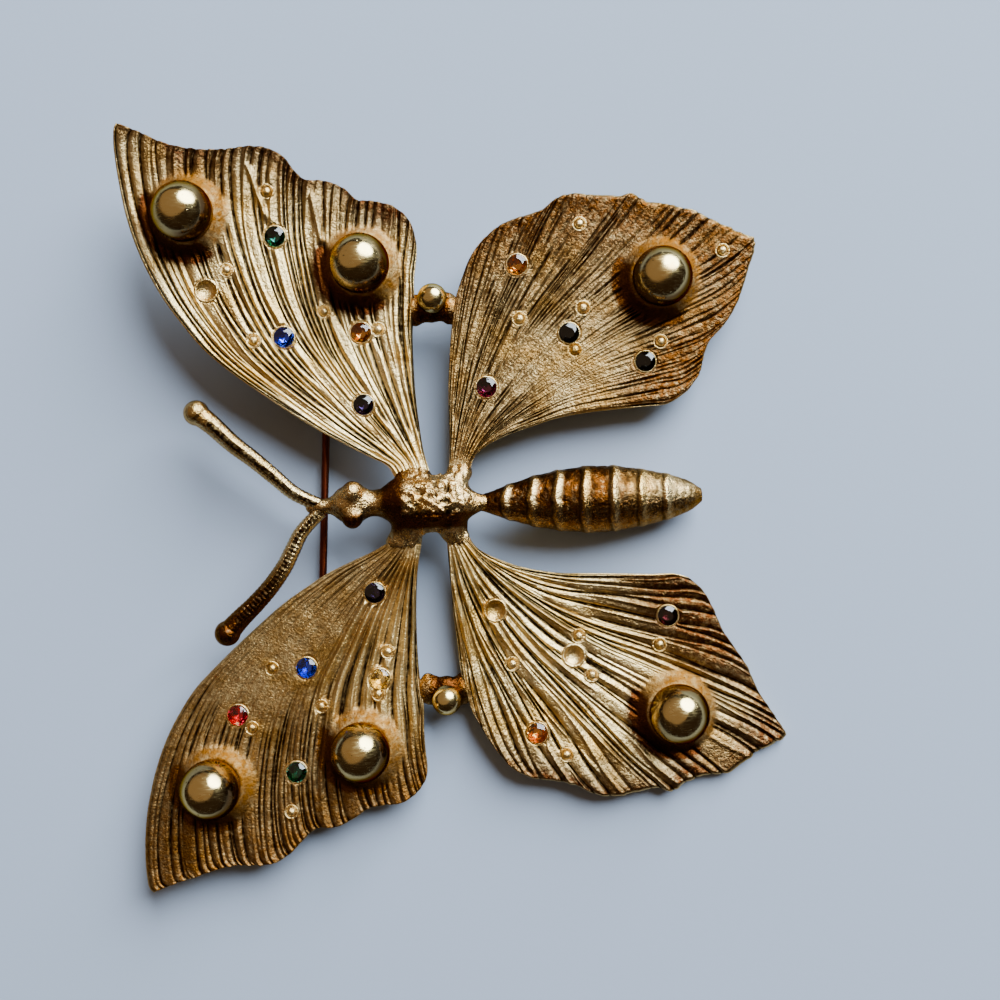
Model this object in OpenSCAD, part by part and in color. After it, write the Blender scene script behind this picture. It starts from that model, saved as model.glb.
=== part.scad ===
// Butterfly brooch: a ribbed cast butterfly with polished domes, small set stones and a pin on the back.
// It lies face up. The head is towards -X, the abdomen towards +X and the butterfly's right wings towards +Y.

/* [Wings] */
// Distance from the body's axis to a forewing tip
fore_span = 38.5; // [34:0.5:44]
// Distance from the slot between the wings to the front of a forewing
fore_reach = 30; // [27:0.5:34]
// Distance from the body's axis to the far side of a hindwing
hind_span = 30; // [27:0.5:33]
// Distance from the slot between the wings to a hindwing tip
hind_reach = 34; // [31:0.5:37]
// Thickness of the cast wing between its ribs and its back
wing_t = 1.1; // [0.9:0.1:1.6]
// Height of a rib over the groove beside it
rib_h = 0.35; // [0.2:0.05:0.6]
// How far the middle of a wing dips below its root and tip
wing_dip = 0.9; // [0:0.1:1.5]

/* [Body] */
// Length of the thorax
thorax_len = 9.2; // [8:0.1:11]
// Width of the thorax
thorax_w = 5.6; // [5:0.1:7]
// Length of the abdomen from the thorax to its blunt tip
abdomen_len = 22.4; // [20:0.2:25]
// Width of the abdomen at its widest ring
abdomen_w = 6.9; // [5.5:0.1:8]
// Length of the head from its neck to its front
head_len = 4.6; // [4:0.1:5.5]
// Width of the head over the eyes
head_w = 4.4; // [3.8:0.1:5.5]
// Reach of the right antenna ahead of the head
antenna_reach = 12.4; // [10:0.2:14]
// Radius of an antenna's stem
antenna_r = 0.6; // [0.5:0.05:0.8]
// Radius of an antenna's round end
club_r = 1.15; // [0.9:0.05:1.3]

/* [Domes and stones] */
// Radius of a polished dome
dome_r = 2.95; // [2.5:0.05:3.2]
// Height of a dome's centre over the wing
dome_lift = 2.2; // [1.8:0.1:2.6]
// Height of the collar that a dome sits in
collar_h = 1.1; // [0.8:0.1:1.4]
// Diameter of a cut stone
stone_d = 2; // [1.6:0.1:2.4]
// Radius of a small round bead on the wing
granule_r = 0.45; // [0.35:0.05:0.6]
// Radius of the ball on the bridge between two wings
ball_r = 1.35; // [1.1:0.05:1.6]

/* [Pin] */
// Distance from the hinge to the catch
pin_span = 29.5; // [27:0.5:31]
// Diameter of the pin wire
pin_d = 0.8; // [0.7:0.05:0.9]
// Depth of the hinge pivot below the hinge plate
hinge_drop = 2.3; // [2:0.1:2.8]
// Depth of the pin wire's seat below the catch plate
catch_drop = 0.75; // [0.6:0.05:1]
// Diameter of the hinge rivet
rivet_d = 0.8; // [0.7:0.05:1]
// Radius of the round plate under the hinge and the catch
plate_r = 2.2; // [1.8:0.1:2.6]
// Thickness of that plate
plate_t = 0.6; // [0.5:0.05:0.8]

/* [Clearances] */
// Gap between a piece and the seat it is fixed in
seat_gap = 0.05; // [0.03:0.01:0.08]
// Gap between a dome and its collar
dome_gap = 0.1; // [0.08:0.01:0.15]
// Gap round the hinge rivet
rivet_gap = 0.05; // [0.02:0.01:0.08]
// Gap between the pin's eye and each ear of the hinge
ear_gap = 0.1; // [0.05:0.01:0.15]

/* [Hidden] */
// Each wing: its side, its way along X, its tip's lift over the root and its rib count
SIDE = 0;
WAY = 1;
LIFT = 2;
RIBS = 3;
INNER = 4;
MARGIN = 5;
OUTER = 6;

// Outline points are shares: along the wing's reach from the slot, then across the wing's span.
// Each inner edge runs from the root up the slot, and each outer edge from the root to the far corner.
right_fore = [1, -1, 1.5, 15,
  [[0.019, 0.083], [0.037, 0.138], [0.048, 0.208], [0.057, 0.286], [0.06, 0.364], [0.06, 0.442],
   [0.05, 0.525], [0.048, 0.584], [0.037, 0.644], [0.035, 0.681]],
  [[0.035, 0.681], [0.053, 0.735], [0.105, 0.774], [0.18, 0.791], [0.227, 0.795], [0.267, 0.823],
   [0.327, 0.844], [0.393, 0.849], [0.43, 0.873], [0.463, 0.909], [0.52, 0.932], [0.587, 0.936],
   [0.66, 0.931], [0.73, 0.932], [0.797, 0.938], [0.863, 0.953], [0.93, 0.979], [1.002, 1.001]],
  [[0.133, 0.068], [0.16, 0.101], [0.22, 0.126], [0.293, 0.158], [0.387, 0.2], [0.48, 0.249],
   [0.58, 0.305], [0.67, 0.358], [0.753, 0.416], [0.82, 0.481], [0.883, 0.553], [0.933, 0.629],
   [0.97, 0.706], [0.993, 0.779], [1.007, 0.857], [1.015, 0.935], [1.012, 0.982], [1.002, 1.001]]];
left_fore = [-1, -1, -0.9, 15,
  [[0.055, 0.109], [0.07, 0.169], [0.078, 0.239], [0.082, 0.312], [0.082, 0.39], [0.078, 0.457],
   [0.068, 0.53], [0.07, 0.592], [0.067, 0.647], [0.062, 0.688]],
  [[0.062, 0.688], [0.067, 0.719], [0.1, 0.756], [0.153, 0.781], [0.217, 0.786], [0.27, 0.795],
   [0.323, 0.821], [0.38, 0.838], [0.44, 0.84], [0.487, 0.869], [0.533, 0.904], [0.583, 0.925],
   [0.647, 0.93], [0.713, 0.929], [0.78, 0.938], [0.847, 0.955], [0.92, 0.971], [0.993, 0.992]],
  [[0.173, 0.104], [0.22, 0.123], [0.287, 0.145], [0.367, 0.173], [0.447, 0.21], [0.53, 0.253],
   [0.613, 0.306], [0.693, 0.36], [0.767, 0.413], [0.83, 0.462], [0.883, 0.519], [0.93, 0.584],
   [0.967, 0.652], [0.993, 0.722], [1.012, 0.795], [1.02, 0.87], [1.018, 0.935], [1.01, 0.977],
   [0.993, 0.992]]];
right_hind = [1, 1, 0.2, 14,
  [[0.043, 0.113], [0.046, 0.2], [0.047, 0.3], [0.049, 0.4], [0.056, 0.5], [0.065, 0.587],
   [0.079, 0.68], [0.1, 0.743]],
  [[0.1, 0.743], [0.126, 0.813], [0.168, 0.873], [0.224, 0.92], [0.285, 0.943], [0.344, 0.963],
   [0.388, 0.997], [0.441, 1.01], [0.512, 1], [0.571, 0.997], [0.609, 1.003], [0.647, 0.977],
   [0.715, 0.962], [0.782, 0.943], [0.847, 0.907], [0.912, 0.87], [0.959, 0.847], [0.968, 0.823],
   [0.953, 0.76], [0.929, 0.687], [0.906, 0.62], [0.871, 0.56], [0.826, 0.507], [0.806, 0.453],
   [0.791, 0.397], [0.756, 0.343]],
  [[0.104, 0.087], [0.112, 0.14], [0.153, 0.183], [0.218, 0.217], [0.291, 0.243], [0.365, 0.267],
   [0.453, 0.282], [0.541, 0.29], [0.629, 0.297], [0.697, 0.303], [0.756, 0.343]]];
left_hind = [-1, 1, -0.3, 15,
  [[0.028, 0.133], [0.031, 0.217], [0.035, 0.31], [0.04, 0.393], [0.047, 0.477], [0.053, 0.56],
   [0.068, 0.653], [0.091, 0.697]],
  [[0.091, 0.697], [0.115, 0.767], [0.15, 0.833], [0.197, 0.897], [0.259, 0.933], [0.324, 0.943],
   [0.382, 0.96], [0.435, 0.99], [0.491, 1], [0.556, 0.99], [0.612, 0.978], [0.665, 0.99],
   [0.706, 0.963], [0.765, 0.942], [0.829, 0.937], [0.885, 0.9], [0.938, 0.863], [0.991, 0.837],
   [1.007, 0.813], [0.982, 0.763], [0.953, 0.71], [0.926, 0.653], [0.903, 0.587], [0.868, 0.523],
   [0.832, 0.457], [0.809, 0.39], [0.779, 0.327], [0.738, 0.282]],
  [[0.091, 0.113], [0.112, 0.153], [0.153, 0.185], [0.218, 0.217], [0.282, 0.238], [0.365, 0.253],
   [0.453, 0.257], [0.541, 0.262], [0.629, 0.267], [0.694, 0.268], [0.738, 0.282]]];
wings = [right_fore, left_fore, right_hind, left_hind];
RF = 0;
LF = 1;
RH = 2;
LH = 3;

// Each dome: name, wing, share of the reach, share of the span
NAME = 0;
WING = 1;
ALONG = 2;
ACROSS = 3;
TINT = 4;
domes = [
  ["dome_right_fore_tip", RF, 0.787, 0.764],
  ["dome_right_fore_inner", RF, 0.22, 0.619],
  ["dome_right_hind", RH, 0.682, 0.717],
  ["dome_left_fore_tip", LF, 0.773, 0.717],
  ["dome_left_fore_inner", LF, 0.273, 0.634],
  ["dome_left_hind", LH, 0.685, 0.727]];

// Each stone: name, wing, share of the reach, share of the span, colour
stones = [
  ["stone_emerald_right_fore", RF, 0.502, 0.703, "darkgreen"],
  ["stone_sapphire_right_fore", RF, 0.486, 0.443, "mediumblue"],
  ["stone_topaz_right_fore", RF, 0.23, 0.448, "chocolate"],
  ["stone_amethyst_right_fore", RF, 0.229, 0.26, "midnightblue"],
  ["stone_topaz_right_hind", RH, 0.264, 0.782, "sienna"],
  ["stone_jet_right_hind", RH, 0.41, 0.549, "black"],
  ["stone_onyx_right_hind", RH, 0.632, 0.445, "black"],
  ["stone_amethyst_right_hind", RH, 0.161, 0.378, "purple"],
  ["stone_amethyst_left_fore", LF, 0.215, 0.229, "indigo"],
  ["stone_sapphire_left_fore", LF, 0.454, 0.419, "mediumblue"],
  ["stone_topaz_left_fore", LF, 0.209, 0.455, "goldenrod"],
  ["stone_ruby_left_fore", LF, 0.691, 0.537, "crimson"],
  ["stone_emerald_left_fore", LF, 0.5, 0.69, "darkgreen"],
  ["stone_topaz_left_hind", LH, 0.274, 0.782, "chocolate"],
  ["stone_garnet_left_hind", LH, 0.671, 0.407, "darkred"]];

// Seats whose stone is lost, and the small round beads: wing, share of the reach, share of the span
empty_seats = [["", RF, 0.737, 0.57], ["", LH, 0.163, 0.369], ["", LH, 0.39, 0.529]];
granules = [
  ["", RF, 0.523, 0.818], ["", RF, 0.667, 0.621], ["", RF, 0.588, 0.437], ["", RF, 0.35, 0.506],
  ["", RF, 0.173, 0.455], ["", RH, 0.451, 0.908], ["", RH, 0.869, 0.803], ["", RH, 0.265, 0.603],
  ["", RH, 0.454, 0.63], ["", RH, 0.426, 0.493], ["", RH, 0.679, 0.51], ["", LF, 0.18, 0.384],
  ["", LF, 0.57, 0.418], ["", LF, 0.41, 0.521], ["", LF, 0.645, 0.572], ["", LF, 0.217, 0.494],
  ["", LF, 0.522, 0.792], ["", LH, 0.406, 0.465], ["", LH, 0.207, 0.55], ["", LH, 0.441, 0.597],
  ["", LH, 0.357, 0.857], ["", LH, 0.644, 0.503]];

// Antenna routes: share of the reach ahead of the head, share of the spread from the axis
right_antenna = [[0, 0.01], [0.2, 0.14], [0.355, 0.31], [0.516, 0.49], [0.677, 0.66], [0.839, 0.84], [1, 1]];
left_antenna = [[0, 0.04], [0.18, 0.18], [0.28, 0.32], [0.365, 0.45], [0.5, 0.595], [0.654, 0.725],
  [0.808, 0.84], [1, 1]];

// The abdomen's rings: share of its length, share of its half width
rings = [[0, 0.26], [0.06, 0.38], [0.13, 0.55], [0.19, 0.62], [0.24, 0.74], [0.3, 0.78], [0.36, 0.9],
  [0.43, 0.91], [0.49, 1], [0.56, 0.96], [0.61, 0.99], [0.69, 0.86], [0.74, 0.86], [0.82, 0.7],
  [0.86, 0.68], [0.94, 0.47], [1, 0.22]];

// Rows of cells along a wing, and the sides of the round shapes that are cast with it
rows = 9;
body_facets = 16;
bead_facets = 10;
seat_facets = 8;
granule_facets = 5;

// The slot between the wings, set so that the brooch's length is centred on the origin
fore_share = max([for (w = [right_fore, left_fore]) for (p = w[OUTER]) p[0]]);
hind_share = max([for (w = [right_hind, left_hind]) for (p = w[MARGIN]) p[0]]);
slot_x = (fore_share * fore_reach - hind_share * hind_reach) / 2;
thorax_x = slot_x - 0.6;
thorax_h = 0.86 * thorax_w;
body_z = 0.3;

// The share of their full height that the ribs have at the root, and how soon they reach it
root_relief = 0.3;
relief_rise = 2.5;

function pick(t, i) = t[max(0, min(len(t) - 1, i))];

// A smooth curve through a table's rows, at a share s of its length
function smooth(a, b, c, d, f) =
  b + 0.5 * f * (c - a + f * (2 * a - 5 * b + 4 * c - d + f * (3 * (b - c) + d - a)));
function along(t, s) =
  let (n = len(t) - 1, k = min(floor(s * n), n - 1))
  smooth(pick(t, k - 1), t[k], t[k + 1], pick(t, k + 2), s * n - k);

function reach(w) = w[WAY] < 0 ? fore_reach : hind_reach;
function span(w) = w[WAY] < 0 ? fore_span : hind_span;

// The wing surface between its four edges: u from the slot to the outer edge, v from the root to the margin
function share(w, u, v) =
  let (m = w[MARGIN], bulge = along(m, u) - (1 - u) * m[0] - u * m[len(m) - 1])
  (1 - u) * along(w[INNER], v) + u * along(w[OUTER], v) + v * bulge;

// Height of a wing's middle surface at a share p of its reach and q of its span
function wing_z(w, p, q) = w[LIFT] * p * q - wing_dip * 4 * q * (1 - q);
function wing_x(w, p) = slot_x + w[WAY] * reach(w) * p;
function wing_y(w, q) = w[SIDE] * span(w) * q;
function slope_x(w, p, q) = w[WAY] * w[LIFT] * q / reach(w);
function slope_y(w, p, q) = w[SIDE] * (w[LIFT] * p - wing_dip * 4 * (1 - 2 * q)) / span(w);

// One column and row of the wing's ribbed face or its smooth back
function wing_corner(w, i, j, top) =
  let (u = i / (2 * w[RIBS]), v = j / rows, s = share(w, u, v), crest = i % 2 == 1 ? 1 : 0,
    relief = rib_h * min(1, root_relief + relief_rise * v))
  [wing_x(w, s[0]), wing_y(w, s[1]),
   wing_z(w, s[0], s[1]) + (top ? wing_t / 2 + relief * (crest - 0.5) : -wing_t / 2)];

// Puts children on the face of a wing, square to it
module on_wing(w, p, q) {
  translate([wing_x(w, p), wing_y(w, q), wing_z(w, p, q) + wing_t / 2])
    rotate([atan(slope_y(w, p, q)), -atan(slope_x(w, p, q)), 0])
      children();
}

// The two triangles of each cell in a grid that is wide points across, from point number first on
function cells(first, wide) =
  [for (j = [0 : rows - 1]) for (i = [0 : wide - 2])
    let (a = first + j * wide + i) each [[a, a + 1, a + wide + 1], [a, a + wide + 1, a + wide]]];
function turn_over(faces) = [for (f = faces) [f[2], f[1], f[0]]];

// A closed sheet: its ribbed face, its smooth back with half as many columns, and the rim between them
module wing(w) {
  ribs = w[RIBS];
  wide = 2 * ribs + 1;
  back = wide * (rows + 1);
  slim = ribs + 1;
  points = concat(
    [for (j = [0 : rows]) for (i = [0 : 2 * ribs]) wing_corner(w, i, j, true)],
    [for (j = [0 : rows]) for (i = [0 : ribs]) wing_corner(w, 2 * i, j, false)]);
  ends = [for (j = [0, rows]) for (i = [0 : ribs - 1])
    let (t = j * wide + 2 * i, b = back + j * slim + i,
      strip = [[t, b, t + 1], [t + 1, b, b + 1], [t + 1, b + 1, t + 2]])
    each (j == 0 ? strip : turn_over(strip))];
  sides = [for (e = [0, 1]) for (j = [0 : rows - 1])
    let (t = j * wide + e * 2 * ribs, b = back + j * slim + e * ribs,
      strip = [[t, t + wide, b], [b, t + wide, b + slim]])
    each (e == 0 ? strip : turn_over(strip))];
  skin = concat(cells(0, wide), turn_over(cells(back, slim)), ends, sides);
  polyhedron(points, w[SIDE] * w[WAY] < 0 ? skin : turn_over(skin), convexity = 10);
}

// The thick neck that carries a wing from the thorax to its root
neck_grip = 0.04;
module neck(w) {
  root = (w[INNER][0] + w[OUTER][0]) / 2;
  half = abs(w[OUTER][0][0] - w[INNER][0][0]) * reach(w) / 2;
  tip_r = (wing_t + rib_h) / 2;
  foot_r = 0.22 * thorax_h;
  x = wing_x(w, root[0]);
  q = root[1] + neck_grip;
  hull() {
    for (s = [-1, 1])
      translate([x + s * (half - tip_r), wing_y(w, q), wing_z(w, root[0], q)])
        sphere(r = tip_r, $fn = seat_facets);
    for (s = [-1, 1])
      translate([x + s * (half - foot_r) + 0.3 * (thorax_x - x), w[SIDE] * 0.3 * thorax_w, body_z])
        sphere(r = foot_r, $fn = bead_facets);
  }
}

// A dome's flat foot stands this high over the wing, in a flared collar with a thin lip
dome_floor = 0.25;
collar_flare = 0.95;
collar_lip = 0.32;
over = 0.01;
function ball_r_at(z) = sqrt(dome_r ^ 2 - (dome_lift - z) ^ 2);
module collar() {
  foot = dome_r + collar_flare;
  waist = foot - collar_flare / 2;
  lip = ball_r_at(collar_h) + collar_lip;
  rotate_extrude($fn = body_facets)
    polygon([[0, -wing_t / 2], [foot, -wing_t / 2], [waist, dome_floor], [lip, collar_h], [0, collar_h]]);
}
module dome_pocket() {
  floor_z = dome_floor - seat_gap;
  translate([0, 0, floor_z])
    cylinder(h = collar_h - floor_z + over, r1 = ball_r_at(dome_floor) + dome_gap,
      r2 = ball_r_at(collar_h) + dome_gap, $fn = body_facets);
}

// The low rim round a stone, the hole that takes its point and the hollow that a lost stone leaves
rim_h = 0.22;
rim_w = 0.2;
rim_flare = 0.25;
stone_depth = 0.62 * wing_t;
module stone_rim() {
  r = stone_d / 2 + rim_w;
  translate([0, 0, -wing_t / 2])
    cylinder(h = wing_t / 2 + rim_h, r1 = r + rim_flare, r2 = r, $fn = seat_facets);
}
module stone_hole() {
  r = (stone_d / 2 + seat_gap) / cos(180 / seat_facets);
  translate([0, 0, -stone_depth]) cylinder(h = stone_depth + 2 * rim_h, r = r, $fn = seat_facets);
}
module lost_stone() {
  translate([0, 0, 0.55 * stone_d]) sphere(r = 0.68 * stone_d, $fn = seat_facets);
}

module granule() {
  cylinder(h = 2 * granule_r, r1 = 1.3 * granule_r, r2 = 0.4 * granule_r, center = true,
    $fn = granule_facets);
}

// A round-ended rod through a list of [point, radius] rows
module rod(route, facets) {
  for (i = [0 : len(route) - 2])
    hull() {
      translate(route[i][0]) sphere(r = route[i][1], $fn = facets);
      translate(route[i + 1][0]) sphere(r = route[i + 1][1], $fn = facets);
    }
}

// The head sits a short neck ahead of the thorax, and the antennae meet a little ahead of it
head_neck = 0.8;
head_y = 0.2;
head_x = thorax_x - thorax_len / 2 - head_len / 2 - head_neck;
antennae_x = head_x - head_len / 2 - 0.9;
antennae_z = body_z + 0.1;

module head() {
  translate([head_x, head_y, body_z + 0.2]) {
    scale([0.5 * head_len, 0.42 * head_w, 0.4 * head_w]) sphere(r = 1, $fn = body_facets);
    translate([0.05 * head_len, 0.28 * head_w, 0.12 * head_w]) sphere(r = 0.22 * head_w, $fn = bead_facets);
    translate([-0.02 * head_len, -0.3 * head_w, 0.1 * head_w]) sphere(r = 0.2 * head_w, $fn = bead_facets);
  }
  rod([[[head_x, head_y, body_z], 0.3 * head_w],
    [[thorax_x - 0.3 * thorax_len, 0, body_z], 0.34 * thorax_h]], bead_facets);
  rod([[[head_x, 0, body_z], 0.3 * head_w], [[antennae_x, 0, antennae_z], 1.15 * antenna_r]], bead_facets);
}

// An antenna thickens along its stem to a round end, and rises a little over the wings
antenna_swell = 0.35;
antenna_rise = 0.9;
module antenna(route, side, reach_x, spread) {
  last = len(route) - 1;
  rod([for (i = [0 : last])
    [[antennae_x - reach_x * route[i][0], side * spread * route[i][1], antennae_z + antenna_rise * i / last],
      i == last ? club_r : antenna_r * (1 + antenna_swell * i / last)]], bead_facets);
}

module thorax() {
  translate([thorax_x, 0, body_z])
    scale([0.5 * thorax_len, 0.5 * thorax_w, 0.5 * thorax_h]) sphere(r = 1, $fn = body_facets);
}

// The abdomen droops a little, is flatter than it is wide, and joins the thorax by a thin waist
abdomen_x = thorax_x + thorax_len / 2 + 0.3;
abdomen_y = -0.25;
abdomen_z = body_z - 0.1;
abdomen_droop = 2.6;
abdomen_flat = 0.84;

module abdomen() {
  translate([abdomen_x, abdomen_y, abdomen_z])
    rotate([0, 90 + abdomen_droop, 0])
      scale([abdomen_flat, 1, 1])
        rotate_extrude($fn = body_facets)
          polygon(concat([[0, 0]], [for (r = rings) [0.5 * abdomen_w * r[1], abdomen_len * r[0]]],
            [[0, abdomen_len]]));
  rod([[[thorax_x, 0, body_z], 0.3 * thorax_h],
    [[abdomen_x + 0.05 * abdomen_len, abdomen_y, abdomen_z], 0.15 * abdomen_w]], bead_facets);
}

// The bar that joins a forewing to a hindwing beyond the slot, with its ball
bar_w = 2.3;
bar_end = 0.8;
fore_grip = 0.075;
hind_grip = 0.09;
module bridge(fore, hind, q_fore, q_hind) {
  a = [wing_x(fore, fore_grip), wing_y(fore, q_fore), wing_z(fore, fore_grip, q_fore)];
  b = [wing_x(hind, hind_grip), wing_y(hind, q_hind), wing_z(hind, hind_grip, q_hind)];
  hull() {
    for (end = [a, b])
      translate(end) cube([bar_end, bar_w, wing_t], center = true);
  }
  translate((a + b) / 2 + [0, 0, wing_t / 2 + 0.25 * ball_r]) sphere(r = ball_r, $fn = body_facets);
}

// The pin's own frame on the back: its hinge towards +Y, its catch towards -Y, turned a little in plan
pin_turn = -3;
pin_x = slot_x - 0.392 * fore_reach;
hinge_y = 0.51 * pin_span;
catch_y = hinge_y - pin_span;
pad_t = 0.5;
pad_r = plate_r + 0.3;
module pin_frame() {
  translate([pin_x, 0, 0]) rotate([0, 0, pin_turn]) children();
}
function pin_point(y, z) = [pin_x - y * sin(pin_turn), y * cos(pin_turn), z];

// The underside of the flat pad that the wing has over the hinge or the catch
function pad_z(w, y) =
  let (p = pin_point(y, 0))
  wing_z(w, (slot_x - p[0]) / fore_reach, abs(p[1]) / fore_span) - wing_t / 2 - pad_t;
hinge_pad_z = pad_z(right_fore, hinge_y);
catch_pad_z = pad_z(left_fore, catch_y);
pivot_z = hinge_pad_z - seat_gap - plate_t - hinge_drop;
wire_z = catch_pad_z - seat_gap - plate_t - catch_drop;
pin_slope = atan((wire_z - pivot_z) / pin_span);

module pad(y, z) {
  pin_frame() translate([0, y, z]) cylinder(h = pad_t + 0.6 * wing_t, r = pad_r, $fn = body_facets);
}

ear_r = 1.4;
ear_t = 0.6;
eye_w = pin_d;
eye_r = 1;
hook_r = 1.25;
hook_w = 2;
hook_room = pin_d / 2 + 0.12;

// The brooch rests on its hinge, its catch and the tip of its left hindwing, so it lies a little tilted
tip_share = [for (p = left_hind[MARGIN]) if (p[0] == hind_share) p][0];
foot_hinge = pin_point(hinge_y, pivot_z - ear_r);
foot_catch = pin_point(catch_y, wire_z - sqrt(hook_r ^ 2 - hook_room ^ 2));
foot_wing = [wing_x(left_hind, tip_share[0]), wing_y(left_hind, tip_share[1]),
  wing_z(left_hind, tip_share[0], tip_share[1]) - wing_t / 2];
up_raw = cross(foot_wing - foot_catch, foot_hinge - foot_catch);
up = up_raw / norm(up_raw);
fore_raw = [1, 0, 0] - up[0] * up;
fore_dir = fore_raw / norm(fore_raw);
side_dir = cross(up, fore_dir);
module lying() {
  multmatrix([
    [fore_dir[0], fore_dir[1], fore_dir[2], 0],
    [side_dir[0], side_dir[1], side_dir[2], 0],
    [up[0], up[1], up[2], -up * foot_hinge],
    [0, 0, 0, 1]])
    children();
}

module butterfly_casting() {
  color("goldenrod") lying() difference() {
    union() {
      for (w = wings) wing(w);
      for (w = wings) neck(w);
      thorax();
      head();
      abdomen();
      antenna(right_antenna, 1, antenna_reach, 0.8 * antenna_reach);
      antenna(left_antenna, -1, 0.84 * antenna_reach, 1.06 * antenna_reach);
      bridge(right_fore, right_hind, 0.505, 0.65);
      bridge(left_fore, left_hind, 0.49, 0.63);
      for (d = domes) on_wing(wings[d[WING]], d[ALONG], d[ACROSS]) collar();
      for (s = stones) on_wing(wings[s[WING]], s[ALONG], s[ACROSS]) stone_rim();
      for (s = empty_seats) on_wing(wings[s[WING]], s[ALONG], s[ACROSS]) stone_rim();
      for (g = granules) on_wing(wings[g[WING]], g[ALONG], g[ACROSS]) granule();
      pad(hinge_y, hinge_pad_z);
      pad(catch_y, catch_pad_z);
    }
    for (d = domes) on_wing(wings[d[WING]], d[ALONG], d[ACROSS]) dome_pocket();
    for (s = stones) on_wing(wings[s[WING]], s[ALONG], s[ACROSS]) stone_hole();
    for (s = empty_seats) on_wing(wings[s[WING]], s[ALONG], s[ACROSS]) lost_stone();
  }
}

// A polished ball with a flat foot inside its collar
module dome(d) {
  color("darkkhaki") lying() on_wing(wings[d[WING]], d[ALONG], d[ACROSS])
    difference() {
      translate([0, 0, dome_lift]) sphere(r = dome_r, $fn = 48);
      translate([-dome_r, -dome_r, dome_floor - 2 * dome_r]) cube(2 * dome_r);
    }
}

// A round cut stone: a flat table, a ring of crown facets, an eight-sided girdle and a blunt point
girdle_z = 0.2;
girdle_t = 0.1;
module stone(s) {
  r = stone_d / 2;
  color(s[TINT]) lying() on_wing(wings[s[WING]], s[ALONG], s[ACROSS])
    hull() {
      translate([0, 0, girdle_z]) cylinder(h = 0.17 * stone_d, r1 = 0, r2 = 0.56 * r, $fn = seat_facets);
      translate([0, 0, girdle_z]) rotate([0, 0, 180 / seat_facets])
        cylinder(h = 0.1 * stone_d, r1 = 0, r2 = 0.82 * r, $fn = seat_facets);
      translate([0, 0, girdle_z - girdle_t]) cylinder(h = girdle_t, r = r, $fn = seat_facets);
      translate([0, 0, 0.1 * wing_t - stone_depth]) cylinder(h = girdle_t, r = 0.2 * r, $fn = seat_facets);
    }
}

// The hinge: a round plate, two ears and the rivet across them
module hinge_bracket() {
  color("peru") lying() pin_frame() translate([0, hinge_y, 0]) {
    translate([0, 0, hinge_pad_z - seat_gap - plate_t]) cylinder(h = plate_t, r = plate_r, $fn = 48);
    for (s = [-1, 1])
      translate([s * (eye_w / 2 + ear_gap + ear_t / 2), 0, pivot_z]) {
        rotate([0, 90, 0]) cylinder(h = ear_t, r = ear_r, center = true, $fn = 48);
        translate([-ear_t / 2, -ear_r, 0]) cube([ear_t, 2 * ear_r, hinge_drop + plate_t / 2]);
      }
    translate([0, 0, pivot_z]) rotate([0, 90, 0])
      cylinder(h = eye_w + 2 * ear_gap + ear_t, d = rivet_d, center = true, $fn = 32);
  }
}

// The catch: a round plate with an open hook, whose mouth faces away from the wing
module pin_catch() {
  color("peru") lying() pin_frame() translate([0, catch_y, 0]) difference() {
    union() {
      translate([0, 0, catch_pad_z - seat_gap - plate_t]) cylinder(h = plate_t, r = plate_r, $fn = 48);
      translate([0, 0, wire_z]) rotate([90, 0, 0]) cylinder(h = hook_w, r = hook_r, center = true, $fn = 48);
    }
    translate([0, 0, wire_z]) rotate([90, 0, 0])
      cylinder(h = hook_w + 1, r = hook_room, center = true, $fn = 32);
    translate([-hook_room, -hook_w, wire_z - 2 * hook_r]) cube([2 * hook_room, 2 * hook_w, 2 * hook_r]);
    translate([-2 * plate_r, -2 * plate_r, catch_pad_z - seat_gap]) cube(4 * plate_r);
  }
}

// The pin: an eye on the rivet, a tapering shoulder, the straight wire and a drawn point past the catch
shoulder_len = 2.6;
shoulder_t = 0.05;
point_len = 2.4;
draw_len = 4.2;
past_catch = 2.4;
point_d = 0.12;
wire_len = pin_span + past_catch - point_len - draw_len - shoulder_len;
module pin_stem() {
  color("saddlebrown") lying() pin_frame() translate([0, hinge_y, pivot_z]) rotate([-pin_slope, 0, 0])
    difference() {
      union() {
        rotate([0, 90, 0]) cylinder(h = eye_w, r = eye_r, center = true, $fn = 48);
        rotate([90, 0, 0]) {
          cylinder(h = shoulder_len, r1 = pin_d / 2 + shoulder_t, r2 = pin_d / 2, $fn = 32);
          translate([0, 0, shoulder_len]) cylinder(h = wire_len, r = pin_d / 2, $fn = 32);
          translate([0, 0, shoulder_len + wire_len])
            cylinder(h = draw_len, r1 = pin_d / 2, r2 = 0.42 * pin_d, $fn = 32);
          translate([0, 0, shoulder_len + wire_len + draw_len])
            cylinder(h = point_len, r1 = 0.42 * pin_d, r2 = point_d / 2, $fn = 32);
        }
      }
      rotate([0, 90, 0]) cylinder(h = 2 * eye_w, d = rivet_d + 2 * rivet_gap, center = true, $fn = 32);
    }
}

butterfly_casting();
hinge_bracket();
pin_catch();
pin_stem();
for (d = domes) dome(d);
for (s = stones) stone(s);
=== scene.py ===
"""Dresses a butterfly brooch: ribbed cast wings, body, polished domes, small cut stones and the pin on its back.

Everything is modelled in millimetres in the brooch's own flat plane, and PLACE lays it on the table."""

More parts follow.
